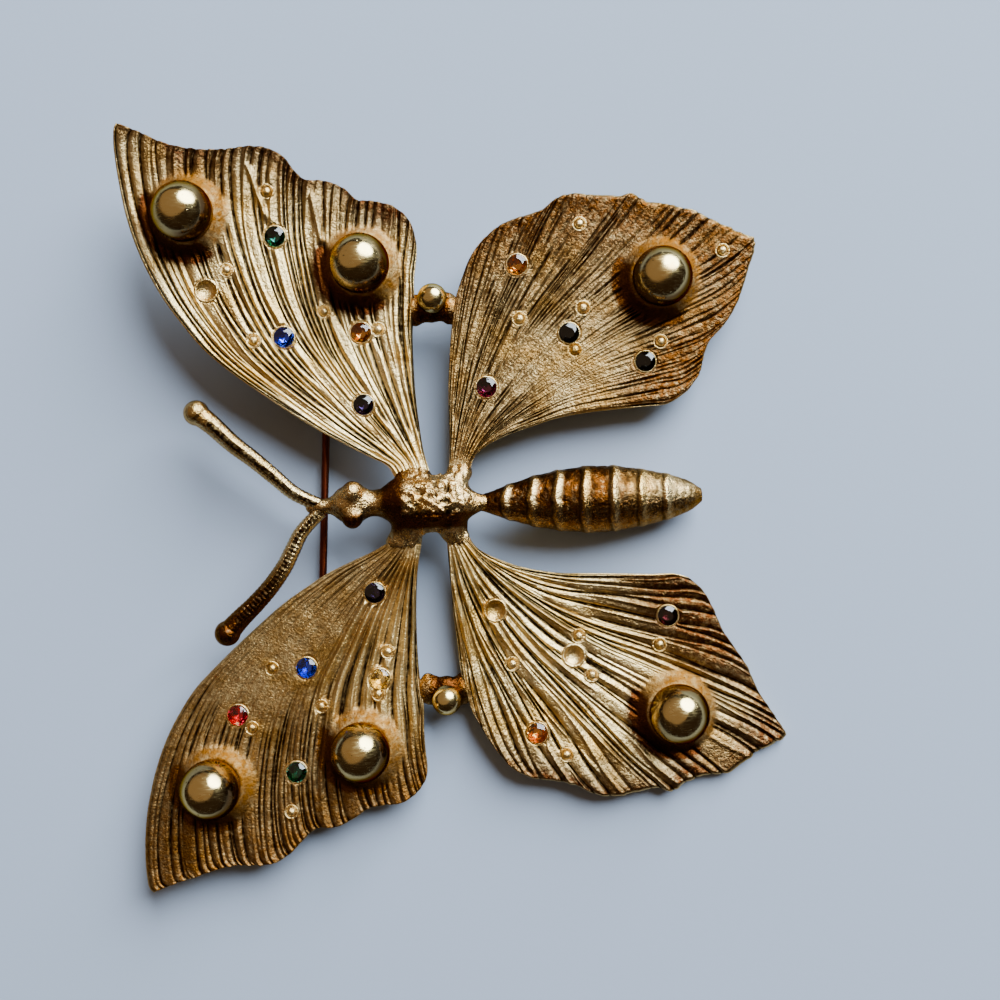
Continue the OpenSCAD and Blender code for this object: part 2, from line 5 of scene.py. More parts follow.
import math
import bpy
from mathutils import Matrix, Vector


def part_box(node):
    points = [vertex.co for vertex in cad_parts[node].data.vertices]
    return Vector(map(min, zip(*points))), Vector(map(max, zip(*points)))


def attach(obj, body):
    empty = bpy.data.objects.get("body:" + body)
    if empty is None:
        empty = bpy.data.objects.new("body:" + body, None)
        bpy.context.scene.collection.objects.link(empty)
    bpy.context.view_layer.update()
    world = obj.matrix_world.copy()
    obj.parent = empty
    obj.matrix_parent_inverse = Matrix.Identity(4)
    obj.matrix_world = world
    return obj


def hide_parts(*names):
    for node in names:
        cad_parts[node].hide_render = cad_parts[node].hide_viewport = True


bl_info = {
    "name": "Butterfly Brooch",
    "version": (1, 0, 0),
    "blender": (4, 5, 0),
    "location": "View3D > Sidebar > Brooch",
    "description": "Builds an antiqued gold-tone butterfly brooch around its packed frame",
    "category": "Add Mesh",
}

import bmesh
import bpy
import numpy as np
from bpy.props import FloatProperty, PointerProperty, StringProperty
from mathutils import Matrix, Vector

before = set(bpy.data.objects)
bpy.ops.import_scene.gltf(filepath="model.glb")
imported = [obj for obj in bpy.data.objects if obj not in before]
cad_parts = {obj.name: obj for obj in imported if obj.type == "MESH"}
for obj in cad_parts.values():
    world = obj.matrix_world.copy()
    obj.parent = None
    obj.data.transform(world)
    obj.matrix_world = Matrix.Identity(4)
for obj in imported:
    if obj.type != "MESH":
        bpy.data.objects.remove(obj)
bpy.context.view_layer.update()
BROOCH = "brooch"
MM = 0.001

# The wings, as shares: along the wing's reach from the slot, then across its span from the body's axis.
# The inner edge runs up the slot, the outer edge to the far corner, and the margin joins them.
RIGHT_FORE = {
    "name": "right_forewing", "side": 1, "way": -1, "reach": 30.0, "span": 38.5, "lift": 1.5,
    "inner": [(0.019, 0.083), (0.037, 0.138), (0.048, 0.208), (0.057, 0.286), (0.06, 0.364), (0.06, 0.442),
              (0.05, 0.525), (0.048, 0.584), (0.037, 0.644), (0.035, 0.681)],
    "margin": [(0.035, 0.681), (0.053, 0.735), (0.105, 0.774), (0.18, 0.791), (0.227, 0.795), (0.267, 0.823),
               (0.327, 0.844), (0.393, 0.849), (0.43, 0.873), (0.463, 0.909), (0.52, 0.932), (0.587, 0.936),
               (0.66, 0.931), (0.73, 0.932), (0.797, 0.938), (0.863, 0.953), (0.93, 0.979), (1.002, 1.001)],
    "outer": [(0.133, 0.068), (0.16, 0.101), (0.22, 0.126), (0.293, 0.158), (0.387, 0.2), (0.48, 0.249),
              (0.58, 0.305), (0.67, 0.358), (0.753, 0.416), (0.82, 0.481), (0.883, 0.553), (0.933, 0.629),
              (0.97, 0.706), (0.993, 0.779), (1.007, 0.857), (1.015, 0.935), (1.012, 0.982), (1.002, 1.001)],
}
LEFT_FORE = {
    "name": "left_forewing", "side": -1, "way": -1, "reach": 30.0, "span": 38.5, "lift": -0.9,
    "inner": [(0.055, 0.109), (0.07, 0.169), (0.078, 0.239), (0.082, 0.312), (0.082, 0.39), (0.078, 0.457),
              (0.068, 0.53), (0.07, 0.592), (0.067, 0.647), (0.062, 0.688)],
    "margin": [(0.062, 0.688), (0.067, 0.719), (0.1, 0.756), (0.153, 0.781), (0.217, 0.786), (0.27, 0.795),
               (0.323, 0.821), (0.38, 0.838), (0.44, 0.84), (0.487, 0.869), (0.533, 0.904), (0.583, 0.925),
               (0.647, 0.93), (0.713, 0.929), (0.78, 0.938), (0.847, 0.955), (0.92, 0.971), (0.993, 0.992)],
    "outer": [(0.173, 0.104), (0.22, 0.123), (0.287, 0.145), (0.367, 0.173), (0.447, 0.21), (0.53, 0.253),
              (0.613, 0.306), (0.693, 0.36), (0.767, 0.413), (0.83, 0.462), (0.883, 0.519), (0.93, 0.584),
              (0.967, 0.652), (0.993, 0.722), (1.012, 0.795), (1.02, 0.87), (1.018, 0.935), (1.01, 0.977),
              (0.993, 0.992)],
}
RIGHT_HIND = {
    "name": "right_hindwing", "side": 1, "way": 1, "reach": 34.0, "span": 30.0, "lift": 0.2,
    "inner": [(0.043, 0.113), (0.046, 0.2), (0.047, 0.3), (0.049, 0.4), (0.056, 0.5), (0.065, 0.587),
              (0.079, 0.68), (0.1, 0.743)],
    "margin": [(0.1, 0.743), (0.126, 0.813), (0.168, 0.873), (0.224, 0.92), (0.285, 0.943), (0.344, 0.963),
               (0.388, 0.997), (0.441, 1.01), (0.512, 1.0), (0.571, 0.997), (0.609, 1.003), (0.647, 0.977),
               (0.715, 0.962), (0.782, 0.943), (0.847, 0.907), (0.912, 0.87), (0.959, 0.847), (0.968, 0.823),
               (0.953, 0.76), (0.929, 0.687), (0.906, 0.62), (0.871, 0.56), (0.826, 0.507), (0.806, 0.453),
               (0.791, 0.397), (0.756, 0.343)],
    "outer": [(0.104, 0.087), (0.112, 0.14), (0.153, 0.183), (0.218, 0.217), (0.291, 0.243), (0.365, 0.267),
              (0.453, 0.282), (0.541, 0.29), (0.629, 0.297), (0.697, 0.303), (0.756, 0.343)],
}
LEFT_HIND = {
    "name": "left_hindwing", "side": -1, "way": 1, "reach": 34.0, "span": 30.0, "lift": -0.3,
    "inner": [(0.028, 0.133), (0.031, 0.217), (0.035, 0.31), (0.04, 0.393), (0.047, 0.477), (0.053, 0.56),
              (0.068, 0.653), (0.091, 0.697)],
    "margin": [(0.091, 0.697), (0.115, 0.767), (0.15, 0.833), (0.197, 0.897), (0.259, 0.933), (0.324, 0.943),
               (0.382, 0.96), (0.435, 0.99), (0.491, 1.0), (0.556, 0.99), (0.612, 0.978), (0.665, 0.99),
               (0.706, 0.963), (0.765, 0.942), (0.829, 0.937), (0.885, 0.9), (0.938, 0.863), (0.991, 0.837),
               (1.007, 0.813), (0.982, 0.763), (0.953, 0.71), (0.926, 0.653), (0.903, 0.587), (0.868, 0.523),
               (0.832, 0.457), (0.809, 0.39), (0.779, 0.327), (0.738, 0.282)],
    "outer": [(0.091, 0.113), (0.112, 0.153), (0.153, 0.185), (0.218, 0.217), (0.282, 0.238), (0.365, 0.253),
              (0.453, 0.257), (0.541, 0.262), (0.629, 0.267), (0.694, 0.268), (0.738, 0.282)],
}
WINGS = [RIGHT_FORE, LEFT_FORE, RIGHT_HIND, LEFT_HIND]
WING_THICK = 1.1
WING_DIP = 0.9

# What sits on the wings: wing, share of the reach, share of the span
DOMES = {
    "dome_right_fore_tip": (RIGHT_FORE, 0.787, 0.764),
    "dome_right_fore_inner": (RIGHT_FORE, 0.22, 0.619),
    "dome_right_hind": (RIGHT_HIND, 0.682, 0.717),
    "dome_left_fore_tip": (LEFT_FORE, 0.773, 0.717),
    "dome_left_fore_inner": (LEFT_FORE, 0.273, 0.634),
    "dome_left_hind": (LEFT_HIND, 0.685, 0.727),
}
STONES = {
    "stone_emerald_right_fore": (RIGHT_FORE, 0.502, 0.703, "emerald"),
    "stone_sapphire_right_fore": (RIGHT_FORE, 0.486, 0.443, "sapphire"),
    "stone_topaz_right_fore": (RIGHT_FORE, 0.23, 0.448, "topaz"),
    "stone_amethyst_right_fore": (RIGHT_FORE, 0.229, 0.26, "amethyst"),
    "stone_topaz_right_hind": (RIGHT_HIND, 0.264, 0.782, "topaz"),
    "stone_jet_right_hind": (RIGHT_HIND, 0.41, 0.549, "black"),
    "stone_onyx_right_hind": (RIGHT_HIND, 0.632, 0.445, "black"),
    "stone_amethyst_right_hind": (RIGHT_HIND, 0.161, 0.378, "plum"),
    "stone_amethyst_left_fore": (LEFT_FORE, 0.215, 0.229, "amethyst"),
    "stone_sapphire_left_fore": (LEFT_FORE, 0.454, 0.419, "sapphire"),
    "stone_topaz_left_fore": (LEFT_FORE, 0.209, 0.455, "citrine"),
    "stone_ruby_left_fore": (LEFT_FORE, 0.691, 0.537, "ruby"),
    "stone_emerald_left_fore": (LEFT_FORE, 0.5, 0.69, "emerald"),
    "stone_topaz_left_hind": (LEFT_HIND, 0.274, 0.782, "topaz"),
    "stone_garnet_left_hind": (LEFT_HIND, 0.671, 0.407, "garnet"),
}
EMPTY_SEATS = [(RIGHT_FORE, 0.737, 0.57), (LEFT_HIND, 0.163, 0.369), (LEFT_HIND, 0.39, 0.529)]
BEADS = [
    (RIGHT_FORE, 0.523, 0.818), (RIGHT_FORE, 0.667, 0.621), (RIGHT_FORE, 0.588, 0.437),
    (RIGHT_FORE, 0.35, 0.506), (RIGHT_FORE, 0.173, 0.455), (RIGHT_HIND, 0.451, 0.908),
    (RIGHT_HIND, 0.869, 0.803), (RIGHT_HIND, 0.265, 0.603), (RIGHT_HIND, 0.454, 0.63),
    (RIGHT_HIND, 0.426, 0.493), (RIGHT_HIND, 0.679, 0.51), (LEFT_FORE, 0.18, 0.384),
    (LEFT_FORE, 0.57, 0.418), (LEFT_FORE, 0.41, 0.521), (LEFT_FORE, 0.645, 0.572),
    (LEFT_FORE, 0.217, 0.494), (LEFT_FORE, 0.522, 0.792), (LEFT_HIND, 0.406, 0.465),
    (LEFT_HIND, 0.207, 0.55), (LEFT_HIND, 0.441, 0.597), (LEFT_HIND, 0.357, 0.857), (LEFT_HIND, 0.644, 0.503),
]

DOME_R = 2.95
DOME_LIFT = 2.2
DOME_FLOOR = 0.25
COLLAR_H = 0.85
STONE_R = 1.0
COLLAR_FOOT_R = 4.15
# Round a dome, in mm from its centre: the edge of the well under it, where the ribs begin again, where the
# tarnish fades, and where the painted shadow on its side away from the window begins and fades
WELL_EDGE = (2.4, 2.66)
RIBS_AGAIN = (3.5, 4.4)
TARNISH_FADES = (3.5, 4.9)
SHADOW_BEGINS = (2.9, 3.1)
SHADOW_FADES = (4.2, 5.9)
# How deep the wing's face is sunk under a stone or an empty seat, and under a bead, and over what radius
SEAT_WELL = (0.62 * WING_THICK, 1.2)
BEAD_WELL = (0.16, 0.7)


def reach_share(wing, edge):
    """The largest share of the reach that an edge of the wing comes to."""
    return max(point[0] for point in wing[edge])


FORE_SHARE = max(reach_share(RIGHT_FORE, "outer"), reach_share(LEFT_FORE, "outer"))
HIND_SHARE = max(reach_share(RIGHT_HIND, "margin"), reach_share(LEFT_HIND, "margin"))
SLOT_X = (FORE_SHARE * RIGHT_FORE["reach"] - HIND_SHARE * RIGHT_HIND["reach"]) / 2
THORAX_X = SLOT_X - 0.6


def curve_at(points, s):
    """A smooth curve through the points, at the shares s of its length."""
    points = np.asarray(points, float)
    last = len(points) - 1
    k = np.clip(np.floor(s * last).astype(int), 0, last - 1)
    f = (s * last - k)[..., None]
    a, b = points[np.maximum(k - 1, 0)], points[k]
    c, d = points[k + 1], points[np.minimum(k + 2, last)]
    return b + 0.5 * f * (c - a + f * (2 * a - 5 * b + 4 * c - d + f * (3 * (b - c) + d - a)))


def wing_share(wing, u, v):
    """The wing's surface between its edges: u from the slot to the outer edge, v from the root to the margin."""
    margin = curve_at(wing["margin"], u)
    first, last = np.array(wing["margin"][0]), np.array(wing["margin"][-1])
    u1, v1 = u[..., None], v[..., None]
    bulge = margin - (1 - u1) * first - u1 * last
    return (1 - u1) * curve_at(wing["inner"], v) + u1 * curve_at(wing["outer"], v) + v1 * bulge


def wing_height(wing, p, q):
    """Height of a wing's middle surface at shares p of its reach and q of its span."""
    return wing["lift"] * p * q - WING_DIP * 4 * q * (1 - q)


def wing_plan(wing, p, q):
    """Place of those shares in the brooch's plane."""
    return SLOT_X + wing["way"] * wing["reach"] * p, wing["side"] * wing["span"] * q


def on_wing(wing, p, q):
    """The matrix that stands a thing on the wing's face, square to it."""
    x, y = wing_plan(wing, p, q)
    slope_x = wing["way"] * wing["lift"] * q / wing["reach"]
    slope_y = wing["side"] * (wing["lift"] * p - WING_DIP * 4 * (1 - 2 * q)) / wing["span"]
    place = Matrix.Translation((x, y, wing_height(wing, p, q) + WING_THICK / 2))
    return place @ Matrix.Rotation(-math.atan(slope_x), 4, "Y") @ Matrix.Rotation(math.atan(slope_y), 4, "X")


def triad(a, b, c):
    """A frame of three points: its origin at a, its first axis towards b."""
    first = (b - a).normalized()
    third = first.cross(c - a).normalized()
    rows = Matrix((first, third.cross(first), third)).transposed().to_4x4()
    return Matrix.Translation(a) @ rows


def dome_in_frame(name):
    """Centre of a dome in the frame, in millimetres: its box is a whole ball's in plan and at the top."""
    low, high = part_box(name)
    return Vector(((low.x + high.x) / 2, (low.y + high.y) / 2, high.z - DOME_R * MM)) / MM


def dome_in_plane(name):
    """Centre of the same dome in the brooch's own plane."""
    return on_wing(*DOMES[name]) @ Vector((0, 0, DOME_LIFT))


PROBES = ("dome_right_fore_tip", "dome_left_fore_tip", "dome_right_hind")
PLACE = triad(*map(dome_in_frame, PROBES)) @ triad(*map(dome_in_plane, PROBES)).inverted()
NORMAL = (PLACE.to_3x3() @ Vector((0, 0, 1))).normalized()


def smooth(x, low, high):
    """0 below low, 1 above high, and a soft step between."""
    t = np.clip((x - low) / (high - low), 0, 1)
    return t * t * (3 - 2 * t)


def noise_grid(shape, seed):
    """Random numbers from -1 to 1, always the same for a seed."""
    return np.random.default_rng(seed).uniform(-1, 1, shape)


def noise_2d(x, y, seed):
    """Smooth noise from -1 to 1 with a period of one unit, and a repeat of 64."""
    grid = noise_grid((64, 64), seed)
    i, j = np.floor(x).astype(int), np.floor(y).astype(int)
    fx, fy = x - i, y - j
    fx, fy = fx * fx * (3 - 2 * fx), fy * fy * (3 - 2 * fy)
    value = 0
    for a in (0, 1):
        for b in (0, 1):
            weight = (fx if a else 1 - fx) * (fy if b else 1 - fy)
            value = value + weight * grid[(i + a) % 64, (j + b) % 64]
    return value


def noise_3d(x, y, z, seed):
    """The same in space, with a repeat of 32."""
    grid = noise_grid((32, 32, 32), seed)
    cells = [np.floor(w).astype(int) for w in (x, y, z)]
    parts = [w - c for w, c in zip((x, y, z), cells)]
    parts = [f * f * (3 - 2 * f) for f in parts]
    value = 0
    for a in (0, 1):
        for b in (0, 1):
            for c in (0, 1):
                weight = 1
                for f, corner in zip(parts, (a, b, c)):
                    weight = weight * (f if corner else 1 - f)
                corner = [(cell + step) % 32 for cell, step in zip(cells, (a, b, c))]
                value = value + weight * grid[corner[0], corner[1], corner[2]]
    return value


def new_object(name, data):
    """An object of that mesh, light or camera in the scene, at the origin."""
    piece = bpy.data.objects.new(name, data)
    bpy.context.scene.collection.objects.link(piece)
    return piece


def paint(mesh, finish):
    """Puts a finish on a mesh's points for its material to read: each key's numbers, one a point."""
    for key, numbers in finish.items():
        numbers = np.asarray(numbers, np.float32).ravel()
        mesh.attributes.new(key, "FLOAT", "POINT").data.foreach_set("value", numbers)


def make_mesh(name, points, faces, place=PLACE, finish=None, flat=False):
    """An object whose place is in its mesh. Points are in millimetres, in the plane that place lays down."""
    mesh = bpy.data.meshes.new(name)
    points = np.asarray(points, float)
    turn = np.array(place)
    placed = (points @ turn[:3, :3].T + turn[:3, 3]) * MM
    faces = [np.asarray(group, int) for group in faces]
    fans = np.concatenate([group[:, (0, k, k + 1)] for group in faces for k in range(1, group.shape[1] - 1)])
    a, b, c = placed[fans[:, 0]], placed[fans[:, 1]], placed[fans[:, 2]]
    if (np.cross(a, b) * c).sum() < 0:
        faces = [group[:, ::-1] for group in faces]
    mesh.vertices.add(len(placed))
    mesh.vertices.foreach_set("co", placed.ravel())
    mesh.loops.add(sum(group.size for group in faces))
    mesh.loops.foreach_set("vertex_index", np.concatenate([group.ravel() for group in faces]))
    sizes = np.concatenate([np.full(len(group), group.shape[1]) for group in faces])
    mesh.polygons.add(len(sizes))
    mesh.polygons.foreach_set("loop_start", np.concatenate([[0], np.cumsum(sizes)[:-1]]))
    mesh.update(calc_edges=True)
    mesh.validate()
    paint(mesh, finish or {})
    (mesh.shade_flat if flat else mesh.shade_smooth)()
    return new_object(name, mesh)


def finish_piece(piece, materials, replaced=(), body=BROOCH):
    """Gives a piece its materials, its body and the solids that it stands for."""
    piece.data.materials.clear()
    for material in materials:
        piece.data.materials.append(material)
    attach(piece, body)
    if replaced:
        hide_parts(*replaced)
    return piece


def grid_cells(first, rows, wide, flip=False):
    """Quads of a grid of points that starts at number first and is wide points across."""
    j, i = np.meshgrid(np.arange(rows - 1), np.arange(wide - 1), indexing="ij")
    a = first + (j * wide + i).ravel()
    quads = np.stack([a, a + 1, a + wide + 1, a + wide], axis=1)
    return quads[:, ::-1] if flip else quads


# Per wing: grooves across it, their depth and width in mm, how broken they are and how much their wide banks
# count; ridges across it and their height in mm; long folds beside the slot and their height in mm; how brown
# it is at the margin, from which share of the span on, elsewhere (tone) and at the outer corner; how much
# duller (matte) and how much more orange (warm) it is than the rest
RELIEF = {
    "right_forewing": {"grooves": 38, "depth": 0.36, "width": 0.14, "broken": 0.12, "banks": 0.45, "ridges": 26,
                       "height": 0.2, "folds": 0, "fold": 0.0, "brown": 1.0, "brown_from": 0.7, "tone": 0.12,
                       "corner": 0.0, "matte": 0.2, "warm": 0.0, "seed": 3},
    "left_forewing": {"grooves": 52, "depth": 0.28, "width": 0.13, "broken": 0.35, "banks": 0.35, "ridges": 34,
                      "height": 0.12, "folds": 8, "fold": 0.52, "brown": 0.95, "brown_from": 0.4, "tone": 0.5,
                      "corner": 0.3, "matte": 1.1, "warm": 0.45, "seed": 11},
    "right_hindwing": {"grooves": 76, "depth": 0.26, "width": 0.105, "broken": 0.55, "banks": 0.1, "ridges": 16,
                       "height": 0.06, "folds": 0, "fold": 0.0, "brown": 1.0, "brown_from": 0.5, "tone": 0.62,
                       "corner": 1.0, "matte": 0.3, "warm": 0.2, "seed": 19},
    "left_hindwing": {"grooves": 38, "depth": 0.4, "width": 0.155, "broken": 0.2, "banks": 0.45, "ridges": 26,
                      "height": 0.22, "folds": 0, "fold": 0.0, "brown": 1.0, "brown_from": 0.68, "tone": 0.15,
                      "corner": 1.0, "matte": 0.2, "warm": 0.05, "seed": 27},
}
# Places where the ribs are worn smooth: shares of reach and span, radius in mm, share of relief left
WORN = {
    "right_forewing": [(0.3, 0.3, 4.0, 0.7)],
    "left_forewing": [(0.62, 0.42, 6.0, 0.3), (0.5, 0.33, 5.0, 0.35), (0.3, 0.25, 5.0, 0.55)],
    "right_hindwing": [(0.3, 0.45, 4.0, 0.3), (0.5, 0.5, 4.0, 0.4), (0.42, 0.38, 3.5, 0.3)],
    "left_hindwing": [(0.6, 0.6, 3.5, 0.5)],
}
# Crests of the right forewing that stand out from the rest: both ends, in mm in the brooch's plane
STRONG_CRESTS = {"right_forewing": [((-19.4, 34.6), (-17.5, 28.5)), ((-13.2, 31.5), (-12.2, 26.0))]}
TOP_WIDE = 400
TOP_ROWS = 184
BACK_STEP = 4


def grooves_on(wing, u, v, stretch, count, width, broken, rng):
    """The deepest of many lines at each point: each starts at the root or forks off its neighbour."""
    field = np.zeros_like(u)
    spots = (np.arange(count) + 0.5 + rng.uniform(-0.3, 0.3, count)) / count
    for i, spot in enumerate(spots):
        level = 0 if i % 4 == 0 else 1 if i % 4 == 2 else 2
        start = (0.0, rng.uniform(0.08, 0.22), rng.uniform(0.2, 0.5))[level]
        end = 1.05 if rng.uniform() > 0.4 * broken else rng.uniform(0.6, 1.0)
        near = spots[i - 1] if i else spots[i + 1]
        fork = 0.0 if level == 0 else (near - spot) * 0.8
        sway = rng.uniform(0.1, 0.3) / count
        beat, phase = rng.uniform(0.8, 2.2), rng.uniform(0, 6.3)
        line = spot + fork * np.exp(-np.maximum(v - start, 0) / 0.12) + sway * np.sin(6.3 * beat * v + phase)
        strength = rng.uniform(0.45, 1.0)
        local = np.minimum(width * rng.uniform(0.8, 1.3), 0.9 * stretch / count)
        lives = smooth(v, start - 0.02, start + 0.05) * (1 - smooth(v, end - 0.05, end))
        gaps = noise_2d(v * rng.uniform(7, 12) + phase, 0 * v + i, 5)
        lives = lives * (1 - broken * smooth(gaps, -0.2, 0.35))
        field = np.maximum(field, strength * lives * np.exp(-(((u - line) * stretch / local) ** 2)))
    return field


def raise_crests(wing, x, y, relief, dirt):
    """Adds the few crests that stand out from a wing's ribs."""
    for (ax, ay), (bx, by) in STRONG_CRESTS.get(wing["name"], ()):
        long2 = (bx - ax) ** 2 + (by - ay) ** 2
        t = np.clip(((x - ax) * (bx - ax) + (y - ay) * (by - ay)) / long2, 0, 1)
        away = np.hypot(x - ax - t * (bx - ax), y - ay - t * (by - ay))
        crest = np.exp(-((away / 0.3) ** 2)) * smooth(t * (1 - t), -0.01, 0.12)
        relief, dirt = relief * (1 - crest) + 0.3 * crest, dirt * (1 - crest)
    return relief, dirt


def raise_collars(wing, x, y, relief, dirt):
    """Adds the domes' flared collars, and gives the tarnish round them, painted shade round their foot and
    painted shadow on their side away from the window.
    """
    tarnish, painted_shade = np.zeros_like(x), np.zeros_like(x)
    for seat in DOMES.values():
        if seat[0] is not wing:
            continue
        cx, cy = wing_plan(*seat)
        r = np.hypot(x - cx, y - cy)
        calm, inside = smooth(r, *RIBS_AGAIN), smooth(r, *WELL_EDGE)
        flare = COLLAR_H * np.clip((COLLAR_FOOT_R - r) / (COLLAR_FOOT_R - DOME_R), 0, 1) ** 1.35
        relief = relief * calm + flare * inside + (1 - inside) * (DOME_FLOOR - 0.3)
        dirt = dirt * calm
        ring = (1 - smooth(r, *TARNISH_FADES)) * (0.85 + 0.25 * noise_2d(x * 1.5, y * 1.5, 9))
        # Painted shadow on the side away from the window, where the orange gives way to it, and faint painted
        # shade all round the foot
        shadow_side = smooth(-(x - cx) - (y - cy), -0.8, 2.6)
        tarnish = np.maximum(tarnish, ring * (1 - 0.85 * shadow_side * smooth(r, 2.8, 3.3)))
        painted_shade = np.maximum(painted_shade, 0.3 * (1 - smooth(r, 3.6, 4.8)))
        painted_shade = np.maximum(painted_shade, 1.35 * shadow_side * smooth(r, *SHADOW_BEGINS) * (1 - smooth(r, *SHADOW_FADES)))
    return relief, dirt, tarnish, painted_shade


def sink_seats(wing, x, y, relief, dirt):
    """Clears the ribs round stones, empty seats and beads, and sinks the face under them."""
    stones = [seat[:3] for seat in STONES.values()]
    for seats, (depth, radius) in ((stones, SEAT_WELL), (EMPTY_SEATS, SEAT_WELL), (BEADS, BEAD_WELL)):
        for seat in seats:
            if seat[0] is wing:
                cx, cy = wing_plan(*seat)
                r = np.hypot(x - cx, y - cy)
                calm = smooth(r, radius, radius + 0.2)
                relief = relief * calm - depth * (1 - smooth(r, radius - 0.25, radius))
                dirt = dirt * calm
    return relief, dirt


def wing_surface(wing):
    """Points and finish of a wing's upper face: relief from ribs, collars and seats, where it is stained, and
    where shadow and sheen are painted.
    """
    look = RELIEF[wing["name"]]
    rng = np.random.default_rng(look["seed"])
    v1 = np.linspace(0, 1, TOP_ROWS + 1)
    v1 = v1 + 0.05 * np.sin(math.pi * v1) * v1
    u, v = np.meshgrid(np.linspace(0, 1, TOP_WIDE + 1), v1)
    rough_edge = 0.0035 * noise_2d(u * 90, 0 * u, look["seed"]) * smooth(v, 0.9, 1.0)
    share = wing_share(wing, u, np.clip(v + rough_edge, 0, 1.01))
    p, q = share[..., 0], share[..., 1]
    x, y = wing_plan(wing, p, q)
    stretch = np.sqrt(np.gradient(x, axis=1) ** 2 + np.gradient(y, axis=1) ** 2) * TOP_WIDE

    # Ribs: grooves with wide banks and ridges between them, fainter at the root and where they are worn
    broken = look["broken"]
    grooves = grooves_on(wing, u, v, stretch, look["grooves"], look["width"], broken, rng)
    ridges = grooves_on(wing, u, v, stretch, look["ridges"], 1.15 * look["width"], broken, rng)
    banks = grooves_on(wing, u, v, stretch, look["grooves"], 2.6 * look["width"], broken,
                       np.random.default_rng(look["seed"]))
    keep = 0.35 + 0.65 * smooth(v, 0.0, 0.18)
    for at, across, radius, left in WORN[wing["name"]]:
        cx, cy = wing_plan(wing, at, across)
        keep = keep * (1 - (1 - left) * (1 - smooth(np.hypot(x - cx, y - cy), 0.5 * radius, 1.4 * radius)))

    # Long soft folds beside the slot, on the wing that has them
    beside = smooth(u, 0.01, 0.05) * (1 - smooth(u, 0.38, 0.55))
    beside = beside * smooth(v, 0.04, 0.15) * (1 - smooth(v, 0.6, 0.88))
    sway = 0.5 * noise_2d(u * 4, v * 3, look["seed"] + 1)
    wave = 0.5 + 0.5 * np.cos(2 * math.pi * (2 * u * look["folds"] + sway))
    folds = beside * wave if look["folds"] else 0 * u
    grooves = grooves * (1 - 0.7 * folds)
    cut = (1 - look["banks"]) * grooves + look["banks"] * banks
    relief = keep * (look["height"] * ridges * (1 - grooves) - look["depth"] * cut)
    relief = relief + look["fold"] * (folds - 0.5 * beside)
    relief = relief + 0.05 * noise_2d(x * 0.7, y * 0.7, 7) + 0.02 * noise_2d(x * 2.6, y * 2.6, 8)
    dirt = np.clip(keep * grooves, 0, 1)
    relief, dirt = raise_crests(wing, x, y, relief, dirt)
    if look["folds"]:
        dirt = np.maximum(dirt, 0.6 * keep * beside * smooth(1 - wave, 0.85, 0.99))
    relief, dirt, tarnish, painted_shade = raise_collars(wing, x, y, relief, dirt)
    relief, dirt = sink_seats(wing, x, y, relief, dirt)
    edge = np.minimum(np.minimum(u, 1 - u) * stretch, (1 - v) * wing["span"] * 0.9)
    relief = relief - 0.3 * (1 - smooth(edge, 0, 0.55)) ** 2
    z = wing_height(wing, p, q) + WING_THICK / 2 + relief

    # Brown towards the margin and the outer corner, painted shadow on the domes' side away from the window, and
    # none on the very edge
    margin = smooth(v + 0.06 * noise_2d(x * 0.35, y * 0.35, 10), look["brown_from"], 1.0)
    # On the wing with folds: less brown towards the slot and on the folds' crests, and less orange on the crests,
    # a painted sheen
    tone = look["tone"] * (0.1 + 0.9 * smooth(u, 0.15, 0.5)) if look["folds"] else look["tone"]
    brown = tone + (look["brown"] - tone) * margin
    brown = np.maximum(brown, look["corner"] * smooth(u, 0.4, 0.85) * smooth(v, 0.35, 0.8)) * (1 - 0.8 * folds)
    brown = np.maximum(brown, painted_shade) * smooth(edge, 0.0, 0.22)
    finish = {"dirt": dirt, "brown": np.maximum(brown, 0.55 * tarnish),
              "gloss": -2.8 * tarnish - look["matte"] * (1 - tarnish),
              "tarnish": np.maximum(tarnish, look["warm"] * (1 - folds))}
    return np.stack([x, y, z], axis=-1), finish


def stitch(top, back):
    """Triangles between a fine edge and the coarse edge below it."""
    faces = []
    half = BACK_STEP // 2
    for k in range(len(back) - 1):
        t = top[k * BACK_STEP:(k + 1) * BACK_STEP + 1]
        for n in range(BACK_STEP):
            faces.append((t[n], back[k] if n < half else back[k + 1], t[n + 1]))
        faces.append((t[half], back[k], back[k + 1]))
    return np.array(faces)


BACK_FINISH = {"dirt": 0.25, "brown": 0.35, "tarnish": 0.1, "gloss": 0.3}


def build_wing(wing):
    """A closed cast sheet: the ribbed face, a plainer back with fewer points, and the rim between them."""
    face, finish = wing_surface(wing)
    rows, wide = face.shape[:2]
    back = face[::BACK_STEP, ::BACK_STEP].copy()
    share_x = (back[..., 0] - SLOT_X) * wing["way"] / wing["reach"]
    share_y = back[..., 1] * wing["side"] / wing["span"]
    hollow = 0.06 * noise_2d(back[..., 0] * 0.5, back[..., 1] * 0.5, 12)
    back[..., 2] = wing_height(wing, share_x, share_y) - WING_THICK / 2 + hollow
    back_rows, back_wide = back.shape[:2]
    first = rows * wide
    top = np.arange(first).reshape(rows, wide)
    under = first + np.arange(back_rows * back_wide).reshape(back_rows, back_wide)
    flip = wing["side"] * wing["way"] < 0
    rim = np.concatenate([stitch(top[0], under[0]), stitch(top[:, -1], under[:, -1]),
                          stitch(top[-1][::-1], under[-1][::-1]), stitch(top[::-1, 0], under[::-1, 0])])
    points = np.concatenate([face.reshape(-1, 3), back.reshape(-1, 3)])
    faces = [grid_cells(0, rows, wide, flip), grid_cells(first, back_rows, back_wide, not flip),
             rim[:, ::-1] if flip else rim]
    finish = {key: np.append(numbers, np.full(under.size, BACK_FINISH[key])) for key, numbers in finish.items()}
    return make_mesh(wing["name"], points, faces, finish=finish)


